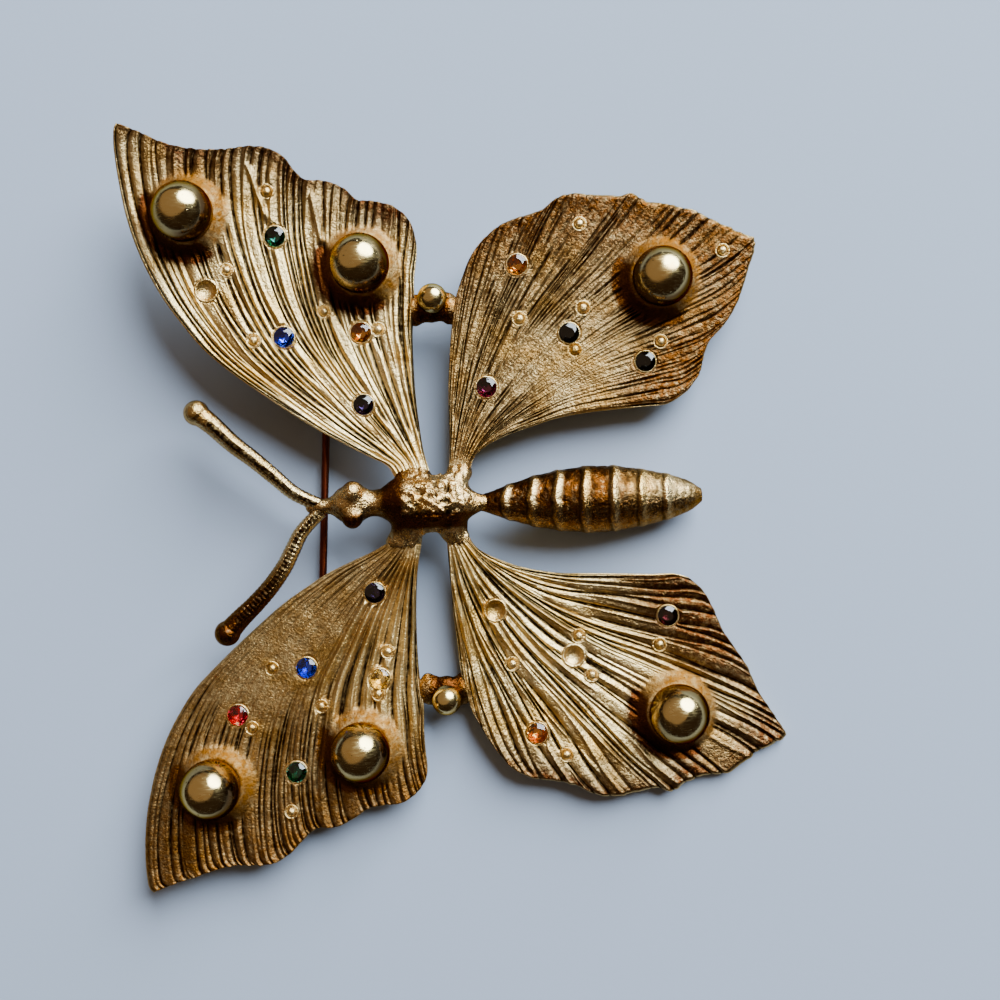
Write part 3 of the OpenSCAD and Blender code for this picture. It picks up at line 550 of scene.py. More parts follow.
def ellipsoid(grid, centre, radii):
    """Distance to an ellipsoid, close enough near its surface."""
    radii = np.array(radii, float)
    scaled = [(g - c) / r for g, c, r in zip(grid, centre, radii)]
    k0 = np.sqrt(sum(s * s for s in scaled))
    k1 = np.sqrt(sum((s / r) ** 2 for s, r in zip(scaled, radii)))
    return k0 * (k0 - 1) / np.maximum(k1, 1e-6)


def cone_rod(grid, start, end, r1, r2, flat=1.0):
    """Distance to a round-ended tapering rod, flattened along Z by flat."""
    a, b = np.array(start, float), np.array(end, float)
    scale = np.array([1, 1, 1 / flat])
    axis = (b - a) * scale
    rel = [(g - c) * s for g, c, s in zip(grid, a, scale)]
    t = np.clip(sum(r * w for r, w in zip(rel, axis)) / (axis @ axis), 0, 1)
    far = np.sqrt(sum((r - t * w) ** 2 for r, w in zip(rel, axis)))
    return far - (r1 + (r2 - r1) * t)


def blend_min(a, b, k):
    """The union of two distances with a fillet of about k."""
    h = np.clip(0.5 + 0.5 * (b - a) / k, 0, 1)
    return b * (1 - h) + a * h - k * h * (1 - h)


def skin_of(field, low, cell):
    """A closed mesh where the field is zero, one point for each cell that the surface crosses."""
    inside = field < 0
    shape = tuple(n - 1 for n in field.shape)
    total, count = np.zeros(shape + (3,)), np.zeros(shape)
    corner = [(a, b, c) for a in (0, 1) for b in (0, 1) for c in (0, 1)]
    view = {o: tuple(slice(k, k + n) for k, n in zip(o, shape)) for o in corner}
    for o in corner:
        for axis in range(3):
            if o[axis] == 0:
                e = tuple(1 if k == axis else w for k, w in enumerate(o))
                crossed = inside[view[o]] != inside[view[e]]
                f0, f1 = field[view[o]][crossed], field[view[e]][crossed]
                spot = np.tile(np.array(o, float), (len(f0), 1))
                spot[:, axis] += f0 / (f0 - f1)
                total[crossed] += spot
                count[crossed] += 1
    active = count > 0
    number = np.full(shape, -1)
    number[active] = np.arange(active.sum())
    base = np.argwhere(active)
    points = (base + total[active] / count[active][:, None]) * cell + np.array(low)
    quads = []
    for axis in range(3):
        s, t = [k for k in range(3) if k != axis]
        if axis == 1:
            s, t = t, s
        here = [slice(1, n) for n in shape]
        here[axis] = slice(0, shape[axis])
        ahead = list(here)
        ahead[axis] = slice(1, shape[axis] + 1)
        a, b = inside[tuple(here)], inside[tuple(ahead)]
        for out, crossed in ((True, a & ~b), (False, ~a & b)):
            spots = np.argwhere(crossed)
            spots[:, s] += 1
            spots[:, t] += 1
            ring = []
            for ds, dt in ((0, 0), (1, 0), (1, 1), (0, 1)):
                at = spots.copy()
                at[:, s] -= ds
                at[:, t] -= dt
                ring.append(number[at[:, 0], at[:, 1], at[:, 2]])
            quad = np.stack(ring, axis=1)
            quads.append(quad if out else quad[:, ::-1])
    return points, np.concatenate(quads)


BODY_Z = 0.3
THORAX = (9.2, 5.6, 4.8)
HEAD_X = -12.1 + SLOT_X + 3.8
TRUNK_BOX = ((-16.5, -8.8, -3.2), (6.0, 8.8, 3.6))
TRUNK_CELL = 0.1
# The two eyes' swellings on the head: behind its middle, to the side, and radius, in mm
EYES = ((0.1, 1.25, 1.15), (0.1, -1.2, 1.1))
# How strong the casting's roughness is, in mm: curls and pebbles on the thorax's top, streaks on the necks
# and a swell all over
CURL, PEBBLE, STREAK, SWELL = 0.17, 0.07, 0.17, 0.1


def root_of(wing):
    """The two ends of a wing's root, in the brooch's plane."""
    ends = []
    for edge in ("inner", "outer"):
        p, q = wing[edge][0]
        x, y = wing_plan(wing, p, q)
        ends.append((x, y, wing_height(wing, p, q)))
    return ends


def build_trunk():
    """Thorax, necks, head and the bases of antennae and abdomen, as one skin over a blended form."""
    low = np.array(TRUNK_BOX[0])
    grid = np.meshgrid(*[np.arange(a, b, TRUNK_CELL) for a, b in zip(*TRUNK_BOX)], indexing="ij")
    field = ellipsoid(grid, (THORAX_X, -0.1, BODY_Z), 0.5 * np.array(THORAX))
    field = blend_min(field, ellipsoid(grid, (THORAX_X - 2.6, 0.4, 0.5), (2.2, 2.3, 2.1)), 0.8)
    for wing in WINGS:
        (ix, iy, iz), (ox, oy, oz) = root_of(wing)
        side = wing["side"]
        mid = ((ix + ox) / 2, (iy + oy) / 2)
        inset = 0.75 if wing["way"] < 0 else 0.55
        for rx in (min(ix, ox) + inset, mid[0], max(ix, ox) - inset):
            root = (rx, side * (abs(mid[1]) - 0.2), (iz + oz) / 2 - 0.04)
            far = (rx + wing["way"] * 0.3, side * (abs(mid[1]) + 2.2), (iz + oz) / 2 - 0.6)
            foot = (0.6 * rx + 0.4 * THORAX_X, side * 1.0, BODY_Z)
            field = blend_min(field, cone_rod(grid, foot, root, 1.2, 0.64), 0.9)
            field = blend_min(field, cone_rod(grid, root, far, 0.64, 0.3), 0.4)
    head = ellipsoid(grid, (HEAD_X, 0.15, BODY_Z + 0.2), (2.2, 2.0, 1.7))
    for behind, side, radius in EYES:
        head = blend_min(head, ellipsoid(grid, (HEAD_X + behind, side, BODY_Z + 1.0), (radius,) * 3), 0.4)
    head = blend_min(head, cone_rod(grid, (HEAD_X, 0.1, BODY_Z), (-14.2, 0.0, BODY_Z + 0.1), 1.2, 0.62), 0.5)
    field = blend_min(field, cone_rod(grid, (HEAD_X, 0.2, BODY_Z), (THORAX_X - 3.5, 0.1, BODY_Z), 1.2, 1.5), 0.8)
    field = blend_min(field, head, 0.45)
    waist = cone_rod(grid, (THORAX_X + 3, -0.1, BODY_Z), (3.6, -0.2, BODY_Z - 0.1), 1.3, 0.7)
    field = blend_min(field, waist, 0.8)
    near = np.abs(field) < 0.9
    nx, ny, nz = (axis[near] for axis in grid)
    curls = 1 - 2.2 * np.abs(noise_3d(nx * 1.7, ny * 1.7, nz * 1.7, 22))
    streaks = noise_3d(nx * 2.3, ny * 0.3, nz * 2.3, 23)
    swell = noise_3d(nx * 0.9, ny * 0.9, nz * 0.9, 21)
    apart = np.hypot((nx - THORAX_X - 0.6) / 3.4, (ny - 0.2) / 2.0)
    rocky = (1 - smooth(apart, 0.7, 1.25)) * smooth(nz, 0.4, 1.6)
    necks = smooth(np.abs(ny), 1.8, 3.0) * smooth(nx, THORAX_X - 4.5, THORAX_X - 3.5)
    pebbles = noise_3d(nx * 3.4, ny * 3.4, nz * 3.4, 24)
    field[near] += 0.03 - (CURL * curls + PEBBLE * pebbles) * rocky - STREAK * streaks * necks - SWELL * swell
    points, quads = skin_of(field, low, TRUNK_CELL)

    # Painted shade under the belly, on the side away from the window and in the crease behind the head, with less
    # orange there; dirt between the curls and the streaks
    px, py, pz = points.T
    gap = np.abs(noise_3d(px * 1.7, py * 1.7, pz * 1.7, 22))
    apart = np.hypot((px - THORAX_X - 0.6) / 3.4, (py - 0.2) / 2.0)
    shaded = smooth(-py, 0.2, 1.6) * (1 - smooth(np.abs(py), 2.2, 3.2))
    painted_shade = np.clip(shaded + 0.5 * smooth(-pz, -1.2, 0.4), 0, 1)
    painted_shade = np.maximum(painted_shade, 0.9 * (1 - smooth(np.abs(px - THORAX_X + 3.6), 0.5, 1.8)))
    dirt = smooth(gap, 0.3, 0.6) * 0.5 * (1 - smooth(apart, 0.7, 1.25))
    furrows = smooth(-noise_3d(px * 2.3, py * 0.3, pz * 2.3, 23), 0.1, 0.5)
    finish = {"dirt": dirt + 0.35 * furrows * smooth(py, 1.8, 3.0),
              "brown": (0.15 + 1.25 * painted_shade) * (1 - 0.8 * smooth(-py, 2.0, 3.6)),
              "tarnish": 0.15 + 0.45 * (1 - painted_shade), "gloss": np.full(len(points), 0.6)}
    return make_mesh("thorax_and_head", points, [quads], finish=finish)


ABDOMEN_X = THORAX_X + THORAX[0] / 2 + 0.3
ABDOMEN_LEN = 22.4
ABDOMEN_W = 6.9
ABDOMEN_DROOP = math.radians(2.6)
RING_H = 0.34
# The abdomen's outline: share of its length and of its half width. Its rings: where each starts and how long
# it is, as shares of the abdomen's length
ABDOMEN_OUTLINE = [(0, 0.2), (0.06, 0.34), (0.13, 0.5), (0.24, 0.72), (0.36, 0.88), (0.49, 0.97), (0.61, 0.95),
                   (0.74, 0.82), (0.86, 0.64), (0.94, 0.47), (0.98, 0.33), (1, 0.12)]
RINGS = [(0.1, 0.09), (0.215, 0.09), (0.325, 0.1), (0.445, 0.11), (0.575, 0.11), (0.7, 0.105), (0.815, 0.1)]


def tube_faces(count, around, poles):
    """Faces of count rings of around points, closed at each end by a fan to the point that poles numbers."""
    i, j = np.meshgrid(np.arange(count - 1), np.arange(around), indexing="ij")
    a, b = i * around + j, i * around + (j + 1) % around
    quads = np.stack([a, b, b + around, a + around], axis=-1).reshape(-1, 4)
    j, end = np.arange(around), (count - 1) * around
    first = np.stack([np.full(around, poles[0]), (j + 1) % around, j], axis=1)
    last = np.stack([np.full(around, poles[1]), end + j, end + (j + 1) % around], axis=1)
    return [quads, first, last]


def build_abdomen():
    """A drooping spindle with overlapping rings, each with a steep front and a long slope behind it."""
    around, steps = 104, 260
    s, angle = np.meshgrid(np.linspace(0, 1, steps + 1), np.arange(around) * 2 * math.pi / around, indexing="ij")
    outline = np.array(ABDOMEN_OUTLINE)
    radius = np.interp(s, outline[:, 0], outline[:, 1])
    kernel = np.hanning(31) / np.hanning(31).sum()
    padded = np.pad(radius[:, 0], 15, mode="edge")
    radius = np.repeat(np.convolve(padded, kernel, mode="valid")[:, None], around, axis=1)
    bow = 0.022 * np.sin(angle) ** 2 + 0.005 * noise_2d(angle * 3, s * 4, 31)
    step = np.zeros_like(s)
    dirt, crest = np.zeros_like(s), np.zeros_like(s)
    for at, length in RINGS:
        d = s - at - bow
        rise = smooth(d, -0.014, 0.01)
        fall = 0.65 * (1 - smooth(d, 0.008, 0.04)) + 0.35 * (1 - smooth(d, 0.01, 0.85 * length))
        step = np.maximum(step, rise * fall)
        dirt = np.maximum(dirt, 0.5 * np.exp(-((d + 0.012) / 0.014) ** 2))
        crest = np.maximum(crest, np.exp(-(((d - 0.015) / 0.016) ** 2)))
    keel = 0.03 * np.cos(3 * angle)
    half = 0.5 * ABDOMEN_W * (radius * (1 + keel * 0.5)) + RING_H * step * (0.2 + 0.8 * np.abs(np.cos(angle)))
    half = half + 0.035 * noise_2d(s * 60, angle * 4, 32) + 0.02 * noise_2d(s * 12, angle * 16, 33)
    along = ABDOMEN_LEN * s
    cross_y, cross_z = half * np.sin(angle), 0.84 * half * np.cos(angle)
    x = ABDOMEN_X + along * math.cos(ABDOMEN_DROOP) + cross_z * math.sin(ABDOMEN_DROOP)
    z = BODY_Z - 0.1 - along * math.sin(ABDOMEN_DROOP) + cross_z * math.cos(ABDOMEN_DROOP)
    points = np.stack([x, cross_y - 0.25, z], axis=-1).reshape(-1, 3)
    ends = len(points)
    points = np.concatenate([points, points[:around].mean(0)[None], points[-around:].mean(0)[None]])

    # Stain between the rings and none on their crests; on the side away from the window (under), painted shade
    # keeps brown on the crests and a painted orange reflection is added; orange tarnish at the tip
    under = smooth(-np.sin(angle), -0.1, 0.5)
    ruts = (0.46 - 0.12 * s) * (1 - crest) * (1 - 0.9 * under)
    dirt = np.maximum(dirt, ruts * (1 + 0.5 * noise_2d(s * 70, angle * 5, 34)))
    brown = 1.1 - 0.15 * under - 1.05 * crest * (1 - 0.75 * under) - 0.5 * smooth(s, 0.5, 0.85) * (1 - under)
    tarnish = 0.2 + 0.3 * under + 0.5 * smooth(s, 0.955, 0.975)
    gloss = 0.55 - 0.2 * smooth(s, 0.9, 0.97)
    finish = {"dirt": np.append(dirt * 0.9, [0, 0]), "brown": np.append(brown, [0, 0]),
              "tarnish": np.append(tarnish, [1, 1]), "gloss": np.append(gloss, [0, 0])}
    return make_mesh("abdomen", points, tube_faces(steps + 1, around, (ends, ends + 1)), finish=finish)


# Antenna routes: how far ahead of the head and how far to the side, in mm
RIGHT_ANTENNA = [(0, 0.1), (2.5, 1.4), (4.4, 3.1), (6.4, 4.9), (8.4, 6.55), (10.5, 8.6), (12.8, 10.5)]
LEFT_ANTENNA = [(0, -0.5), (1.9, -2.4), (2.9, -4.2), (3.8, -5.9), (5.2, -7.8), (6.8, -9.5), (8.4, -11.0),
                (10.4, -13.1)]
ANTENNA_X = -13.3
ANTENNA_RISE = 0.9
NICK_STEP = 0.42
PROFILE_POINTS = 40


def antenna_route(route, count):
    """Points along an antenna, and the direction there."""
    s = np.linspace(0, 1, count)
    flat = curve_at(route, s)
    points = np.stack([ANTENNA_X - flat[:, 0], flat[:, 1], BODY_Z + 0.1 + ANTENNA_RISE * s], axis=1)
    heading = np.gradient(points, axis=0)
    return s, points, heading / np.linalg.norm(heading, axis=1)[:, None]


def lathe(profile, around):
    """A closed round form from a profile of radius and height, whose first and last points are on the axis."""
    profile = np.array(profile, float)
    angle = np.arange(around) * 2 * math.pi / around
    middle = profile[1:-1]
    rings = np.stack([np.outer(middle[:, 0], np.cos(angle)), np.outer(middle[:, 0], np.sin(angle)),
                      np.repeat(middle[:, 1][:, None], around, axis=1)], axis=-1).reshape(-1, 3)
    points = np.concatenate([rings, [[0, 0, profile[0, 1]], [0, 0, profile[-1, 1]]]])
    return points, tube_faces(len(middle), around, (len(points) - 2, len(points) - 1))


def arc(radius, centre, start, steps):
    """Profile points on a circle, from the angle start off its top up to the top, which is left out."""
    return [(radius * math.sin(a), centre + radius * math.cos(a)) for a in np.linspace(start, 0, steps)[:-1]]


def build_dome(name):
    """A ball with a flat foot, a little uneven from years of wear, with a painted dark reflection low on its
    sides.
    """
    foot = math.acos((DOME_FLOOR - DOME_LIFT) / DOME_R)
    profile = [(0, DOME_FLOOR), *arc(DOME_R, DOME_LIFT, foot, 60), (0, DOME_LIFT + DOME_R)]
    points, faces = lathe(profile, 96)
    seed = sum(map(ord, name))
    wear = 0.03 * noise_3d(*(points.T * 0.55 + 9), seed) + 0.009 * noise_3d(*(points.T * 1.7 + 9), seed + 1)
    out = points - np.array([0, 0, DOME_LIFT])
    points = points + out / np.linalg.norm(out, axis=1)[:, None] * wear[:, None]
    # Painted dark reflection on the ball's lower band, strongest towards the lower right, where the ball would
    # mirror the floor and the dark room
    side = (0.85 * points[:, 0] - 0.5 * points[:, 1]) / DOME_R
    dark_reflection_band = smooth(points[:, 2], 2.3, 2.7) * (1 - smooth(points[:, 2], 4.0, 4.7))
    low = dark_reflection_band * (0.6 + 0.4 * smooth(side, 0.0, 0.5))
    return make_mesh(name + "_ball", points, faces, PLACE @ on_wing(*DOMES[name]), {"low": low})


def build_stone(name):
    """A round cut stone: table, star, kite and girdle facets above, and a foiled cone of facets below."""
    r, top, girdle, waist, depth = STONE_R, 0.36, 0.16, -0.18, -0.6
    points, faces = [], []

    def ring(count, radius, height, turn):
        first = len(points)
        for k in range(count):
            a = 2 * math.pi * (k + turn) / count
            points.append((radius * math.cos(a), radius * math.sin(a), height))
        return list(range(first, first + count))

    table = ring(8, 0.56 * r, top, 0.0)
    kite = ring(8, 0.8 * r, top - 0.09, 0.5)
    rim = ring(16, r, girdle, 0.0)
    under = ring(16, r, girdle - 0.06, 0.0)
    mid = ring(8, 0.5 * r, waist, 0.5)
    tip = len(points)
    points.append((0, 0, depth))
    faces.append(table)
    for k in range(8):
        after = (k + 1) % 8
        a, b, c = (rim[(2 * k + n) % 16] for n in range(3))
        faces += [[table[k], kite[k], table[after]], [kite[k], a, b], [kite[k], b, c],
                  [table[after], kite[k], c], [table[k], a, kite[k]]]
    crown = len(faces)
    for k in range(16):
        after = (k + 1) % 16
        faces.append([rim[k], under[k], under[after], rim[after]])
    for k in range(8):
        after = (k + 1) % 8
        a, b, c = (under[(2 * k + n) % 16] for n in range(3))
        faces += [[mid[k], tip, mid[after]], [a, mid[k], b], [b, mid[k], c], [c, mid[k], mid[after]]]
    groups = [np.array([f for f in faces if len(f) == n]) for n in (8, 3, 4)]
    order = [i for n in (8, 3, 4) for i, f in enumerate(faces) if len(f) == n]
    piece = make_mesh(name + "_cut", points, groups, PLACE @ on_wing(*STONES[name][:3]), flat=True)
    piece.data.polygons.foreach_set("material_index", [0 if i < crown else 1 for i in order])
    return piece


def node(tree, kind, inputs=(), out=None, **settings):
    """Adds a node with its settings and links, and gives it, or its output of the name out.
    An input is a value or the socket that feeds it, and a list of them fills the first inputs in order."""
    made = tree.nodes.new(kind)
    for key, value in settings.items():
        setattr(made, key, value)
    for key, value in inputs.items() if isinstance(inputs, dict) else enumerate(inputs):
        if isinstance(value, bpy.types.NodeSocket):
            tree.links.new(value, made.inputs[key])
        else:
            made.inputs[key].default_value = value
    return made if out is None else made.outputs[out]


def colour(code):
    """A linear colour from an sRGB hex code."""
    parts = [int(code[i:i + 2], 16) / 255 for i in (1, 3, 5)]
    return [c / 12.92 if c <= 0.04045 else ((c + 0.055) / 1.055) ** 2.4 for c in parts] + [1.0]


def new_material(name):
    """A material, its empty tree and its object coordinates."""
    material = bpy.data.materials.new(name)
    material.use_nodes = True
    material.node_tree.nodes.clear()
    return material, material.node_tree, node(material.node_tree, "ShaderNodeTexCoord", (), "Object")


def per_mm(size):
    """The scale of a noise whose grains are about size millimetres wide."""
    return 1 / (size * MM)


# A soft step: its inputs are the value, where it starts and ends, and what it goes from and to
SOFT = {"interpolation_type": "SMOOTHSTEP"}
NOISE_ROUGH = 0.55


def antiqued_casting():
    """Gold-plated white metal, cast and antiqued: satin pale gold on the crests, red-brown lacquer left in the
    grooves and towards the margins, and duller orange tarnish round what was soldered. The brown also paints
    shade on some pieces, and the orange a warm reflection on the abdomen."""
    look = bpy.context.scene.brooch_colours
    material, tree, place = new_material("antiqued_cast_gold")
    dirt, brown, tarnish, gloss = (node(tree, "ShaderNodeAttribute", (), "Fac", attribute_name=key)
                                   for key in ("dirt", "brown", "tarnish", "gloss"))
    blotch, grain, speck = (
        node(tree, "ShaderNodeTexNoise", {"Vector": place, "Scale": per_mm(size), "Detail": detail,
                                          "Roughness": rough}, "Fac")
        for size, detail, rough in ((4.0, 4.0, NOISE_ROUGH), (0.22, 2.0, 0.7), (0.5, 3.0, 0.6)))
    deep, stain_and_shade, orange_cover, filled, patchy, pores, rough = (
        node(tree, "ShaderNodeMapRange", step, "Result", **SOFT)
        for step in ((blotch, 0.35, 0.7), (speck, 0.2, 0.62, 0.72, 1.0), (speck, 0.3, 0.65, 0.4, 0.95),
                     (dirt, 0.2, 0.55), (speck, 0.15, 0.6, 0.6, 1.0), (grain, 0.46, 0.3, 0.0, 0.5),
                     (grain, 0.3, 0.7, 0.25, 0.36)))
    # The brown mask carries stain and painted shade, the orange one tarnish and a painted reflection
    stain_and_shade, orange_cover, filth = (node(tree, "ShaderNodeMath", pair, "Value", operation="MULTIPLY")
                             for pair in ((brown, stain_and_shade), (tarnish, orange_cover), (filled, patchy)))
    filth = node(tree, "ShaderNodeMath", (filth, pores), "Value", operation="MAXIMUM")
    gold = colour(look.gold)
    for cover, over in ((deep, look.gold_deep), (stain_and_shade, look.patina_and_shade), (orange_cover, look.tarnish),
                        (filth, look.groove)):
        gold = node(tree, "ShaderNodeMix", {"Factor": cover, "A": gold, "B": colour(over)}, "Result",
                    data_type="RGBA")
    for value, share in ((filth, 0.2), (gloss, -0.13)):
        rough = node(tree, "ShaderNodeMath", (value, share, rough), "Value", operation="MULTIPLY_ADD")
    coarse = node(tree, "ShaderNodeBump", {"Height": speck, "Strength": 0.5, "Distance": 0.1 * MM}, "Normal")
    fine = node(tree, "ShaderNodeBump", {"Height": grain, "Strength": 1.0, "Distance": 0.09 * MM,
                                         "Normal": coarse}, "Normal")
    shader = node(tree, "ShaderNodeBsdfPrincipled", {
        "Base Color": gold, "Metallic": 1.0, "Roughness": rough, "Specular Tint": (0.9, 0.7, 0.5, 1.0),
        "Normal": fine}, "BSDF")
    node(tree, "ShaderNodeOutputMaterial", {"Surface": shader})
    return material


def polished_plate():
    """Gold plate polished bright on a ball, with small pits, faint scratches and a painted dark reflection low on
    its sides.
    """
    look = bpy.context.scene.brooch_colours
    material, tree, place = new_material("polished_gold_plate")
    across = node(tree, "ShaderNodeMapping", {"Vector": place, "Scale": (1.0, 7.0, 1.0),
                                              "Rotation": (0.3, 0.2, 0.6)}, "Vector")
    cloud, pit, scratch = (
        node(tree, "ShaderNodeTexNoise", {"Vector": at, "Scale": per_mm(size), "Detail": detail,
                                          "Roughness": NOISE_ROUGH}, "Fac")
        for at, size, detail in ((place, 1.6, 4.0), (place, 0.35, 2.0), (across, 0.7, 3.0)))
    deep, pitted, scratched, dull, dip = (
        node(tree, "ShaderNodeMapRange", step, "Result", **SOFT)
        for step in ((cloud, 0.5, 0.75, 0.0, 0.6), (pit, 0.68, 0.76, 0.0, 0.8), (scratch, 0.35, 0.7, 0.11, 0.24),
                     (cloud, 0.45, 0.7, 0.0, 0.1), (pit, 0.66, 0.78)))
    # The painted dark reflection that the domes carry low on their sides, in the patina's colour
    low = node(tree, "ShaderNodeAttribute", (), "Fac", attribute_name="low")
    low = node(tree, "ShaderNodeMath", (low, 0.9), "Value", operation="MULTIPLY")
    gold = colour(look.polish)
    for cover, over in ((deep, look.gold_deep), (pitted, look.groove), (low, look.patina_and_shade)):
        gold = node(tree, "ShaderNodeMix", {"Factor": cover, "A": gold, "B": colour(over)}, "Result",
                    data_type="RGBA")
    rough = node(tree, "ShaderNodeMath", (scratched, dull), "Value", operation="ADD")
    bump = node(tree, "ShaderNodeBump", {"Height": dip, "Strength": 0.3, "Distance": 0.05 * MM}, "Normal",
                invert=True)
    shader = node(tree, "ShaderNodeBsdfPrincipled", {
        "Base Color": gold, "Metallic": 1.0, "Roughness": rough, "Specular Tint": (0.4, 0.26, 0.12, 1.0),
        "Normal": bump}, "BSDF")
    node(tree, "ShaderNodeOutputMaterial", {"Surface": shader})
    return material


def worn_metal(name, clean, worn, size, detail, wear, rough, stretch=(1.0, 1.0, 1.0)):
    """A metal whose wear and roughness both follow one grain of that size in mm, stretched along its draw."""
    material, tree, place = new_material(name)
    place = node(tree, "ShaderNodeMapping", {"Vector": place, "Scale": stretch}, "Vector")
    grain = node(tree, "ShaderNodeTexNoise", {"Vector": place, "Scale": per_mm(size), "Detail": detail,
                                              "Roughness": NOISE_ROUGH}, "Fac")
    wear, rough = (node(tree, "ShaderNodeMapRange", (grain, *step), "Result", **SOFT) for step in (wear, rough))
    base = node(tree, "ShaderNodeMix", {"Factor": wear, "A": colour(clean), "B": colour(worn)}, "Result",
                data_type="RGBA")
    shader = node(tree, "ShaderNodeBsdfPrincipled", {"Base Color": base, "Metallic": 1.0, "Roughness": rough},
                  "BSDF")
    node(tree, "ShaderNodeOutputMaterial", {"Surface": shader})
    return material


def drawn_wire():
    """Drawn steel wire with a coppery gilt wash: a dull red-brown gloss with fine lengthwise lines."""
    look = bpy.context.scene.brooch_colours
    return worn_metal("coppered_wire", look.wire, look.wire_dark, 1.2, 3.0, (0.3, 0.7), (0.3, 0.7, 0.25, 0.42),
                      (12.0, 0.6, 12.0))


def stamped_finding():
    """Stamped brass findings under worn gold plate: smooth, browner where the plate is thin."""
    look = bpy.context.scene.brooch_colours
    return worn_metal("stamped_brass_finding", look.finding, look.patina_and_shade, 1.1, 4.0, (0.4, 0.65),
                      (0.3, 0.7, 0.28, 0.45))


# Each glass: its body's colour and its foil's colour
GLASSES = {
    "emerald": ("#12584a", "#0a4c3a"), "sapphire": ("#2848ff", "#2a48ff"), "topaz": ("#d09040", "#96601a"),
    "citrine": ("#f6e29a", "#ecca64"), "amethyst": ("#281b40", "#200e38"), "plum": ("#661440", "#4e0a34"),
    "black": ("#0a0d0e", "#040505"), "ruby": ("#c01434", "#b80824"), "garnet": ("#300c10", "#120304"),
}


# How far lead glass bends light
LEAD_GLASS = 1.56


def glass_foil(kind):
    """Mirror foil behind the glass: it throws the light back in the stone's own colour, a little crackled."""
    return worn_metal(kind + "_foil", GLASSES[kind][1], "#000000", 0.3, 2.0, (0.5, 0.7, 0.0, 0.5),
                      (0.3, 0.7, 0.12, 0.3))


def glass_crown(kind):
    """Pressed and polished lead glass, tinted through: a hard bright gloss over a deep colour."""
    material, tree, place = new_material(kind + "_cut_glass")
    scuff = node(tree, "ShaderNodeTexNoise", {"Vector": place, "Scale": per_mm(0.4), "Detail": 2.0,
                                              "Roughness": NOISE_ROUGH}, "Fac")
    rough = node(tree, "ShaderNodeMapRange", (scuff, 0.3, 0.7, 0.0, 0.06), "Result", **SOFT)
    shader = node(tree, "ShaderNodeBsdfPrincipled", {
        "Base Color": colour(GLASSES[kind][0]), "Transmission Weight": 1.0, "IOR": LEAD_GLASS,
        "Roughness": rough}, "BSDF")
    node(tree, "ShaderNodeOutputMaterial", {"Surface": shader})
    return material


def floor_board():
    """Smooth matt card: pale and cool, with a barely seen tooth."""
    material, tree, place = new_material("pale_card")
    tooth = node(tree, "ShaderNodeTexNoise", {"Vector": place, "Scale": per_mm(0.8), "Detail": 3.0,
                                              "Roughness": NOISE_ROUGH}, "Fac")
    bump = node(tree, "ShaderNodeBump", {"Height": tooth, "Strength": 0.08, "Distance": 0.1 * MM}, "Normal")
    shader = node(tree, "ShaderNodeBsdfPrincipled", {
        "Base Color": colour(bpy.context.scene.brooch_colours.floor), "Roughness": 0.9, "Normal": bump}, "BSDF")
    node(tree, "ShaderNodeOutputMaterial", {"Surface": shader})
    return material


BEAD_SEED = 4
CLUB_CUTS = 5


def new_tree(name, sockets, result):
    """An empty geometry tree with its named inputs and its result, and the inputs to link from."""
    tree = bpy.data.node_groups.new(name, "GeometryNodeTree")
    for key, kind in sockets.items():
        tree.interface.new_socket(key, in_out="INPUT", socket_type="NodeSocket" + kind)
    tree.interface.new_socket(result, in_out="OUTPUT", socket_type="NodeSocketGeometry")
    return tree, node(tree, "NodeGroupInput").outputs


def end_tree(tree, geometry, material):
    """Makes the copies real, gives them the material and puts them out."""
    real = node(tree, "GeometryNodeRealizeInstances", {"Geometry": geometry}, "Geometry")
    dressed = node(tree, "GeometryNodeSetMaterial", {"Geometry": real, "Material": material}, "Geometry")
    node(tree, "NodeGroupOutput", (dressed,))
    return tree


def seat_tree():
    """Geometry nodes that stand a copy of one shape on each point, square to the wing there."""
    tree, given = new_tree("shape_on_seats", {"Seats": "Geometry", "Shape": "Object", "Scale": "Float",
                                              "Spread": "Float", "Material": "Material"}, "Pieces")
    facing = node(tree, "GeometryNodeInputNamedAttribute", {"Name": "facing"}, "Attribute",
                  data_type="FLOAT_VECTOR")
    turn = node(tree, "FunctionNodeAlignRotationToVector", {"Vector": facing}, "Rotation", axis="Z")
    shape = node(tree, "GeometryNodeObjectInfo", {"Object": given["Shape"]}, "Geometry")
    low, high = (node(tree, "ShaderNodeMath", (given["Scale"], given["Spread"]), "Value", operation=operation)
                 for operation in ("SUBTRACT", "ADD"))
    size = node(tree, "FunctionNodeRandomValue", {"Min": low, "Max": high, "Seed": BEAD_SEED}, "Value",
                data_type="FLOAT")
    copies = node(tree, "GeometryNodeInstanceOnPoints", {
        "Points": given["Seats"], "Instance": shape, "Rotation": turn, "Scale": size}, "Instances")
    return end_tree(tree, copies, given["Material"])


def grown_by(tree, source, values):
    """Runs a geometry tree on an object and gives the result as a plain mesh. The object goes."""
    modifier = source.modifiers.new("growth", "NODES")
    modifier.node_group = tree
    sockets = {item.name: item.identifier for item in tree.interface.items_tree if item.in_out == "INPUT"}
    for key, value in values.items():
        modifier[sockets[key]] = value
    graph = bpy.context.evaluated_depsgraph_get()
    mesh = bpy.data.meshes.new_from_object(source.evaluated_get(graph), depsgraph=graph)
    source.modifiers.remove(modifier)
    bpy.data.objects.remove(source)
    return mesh


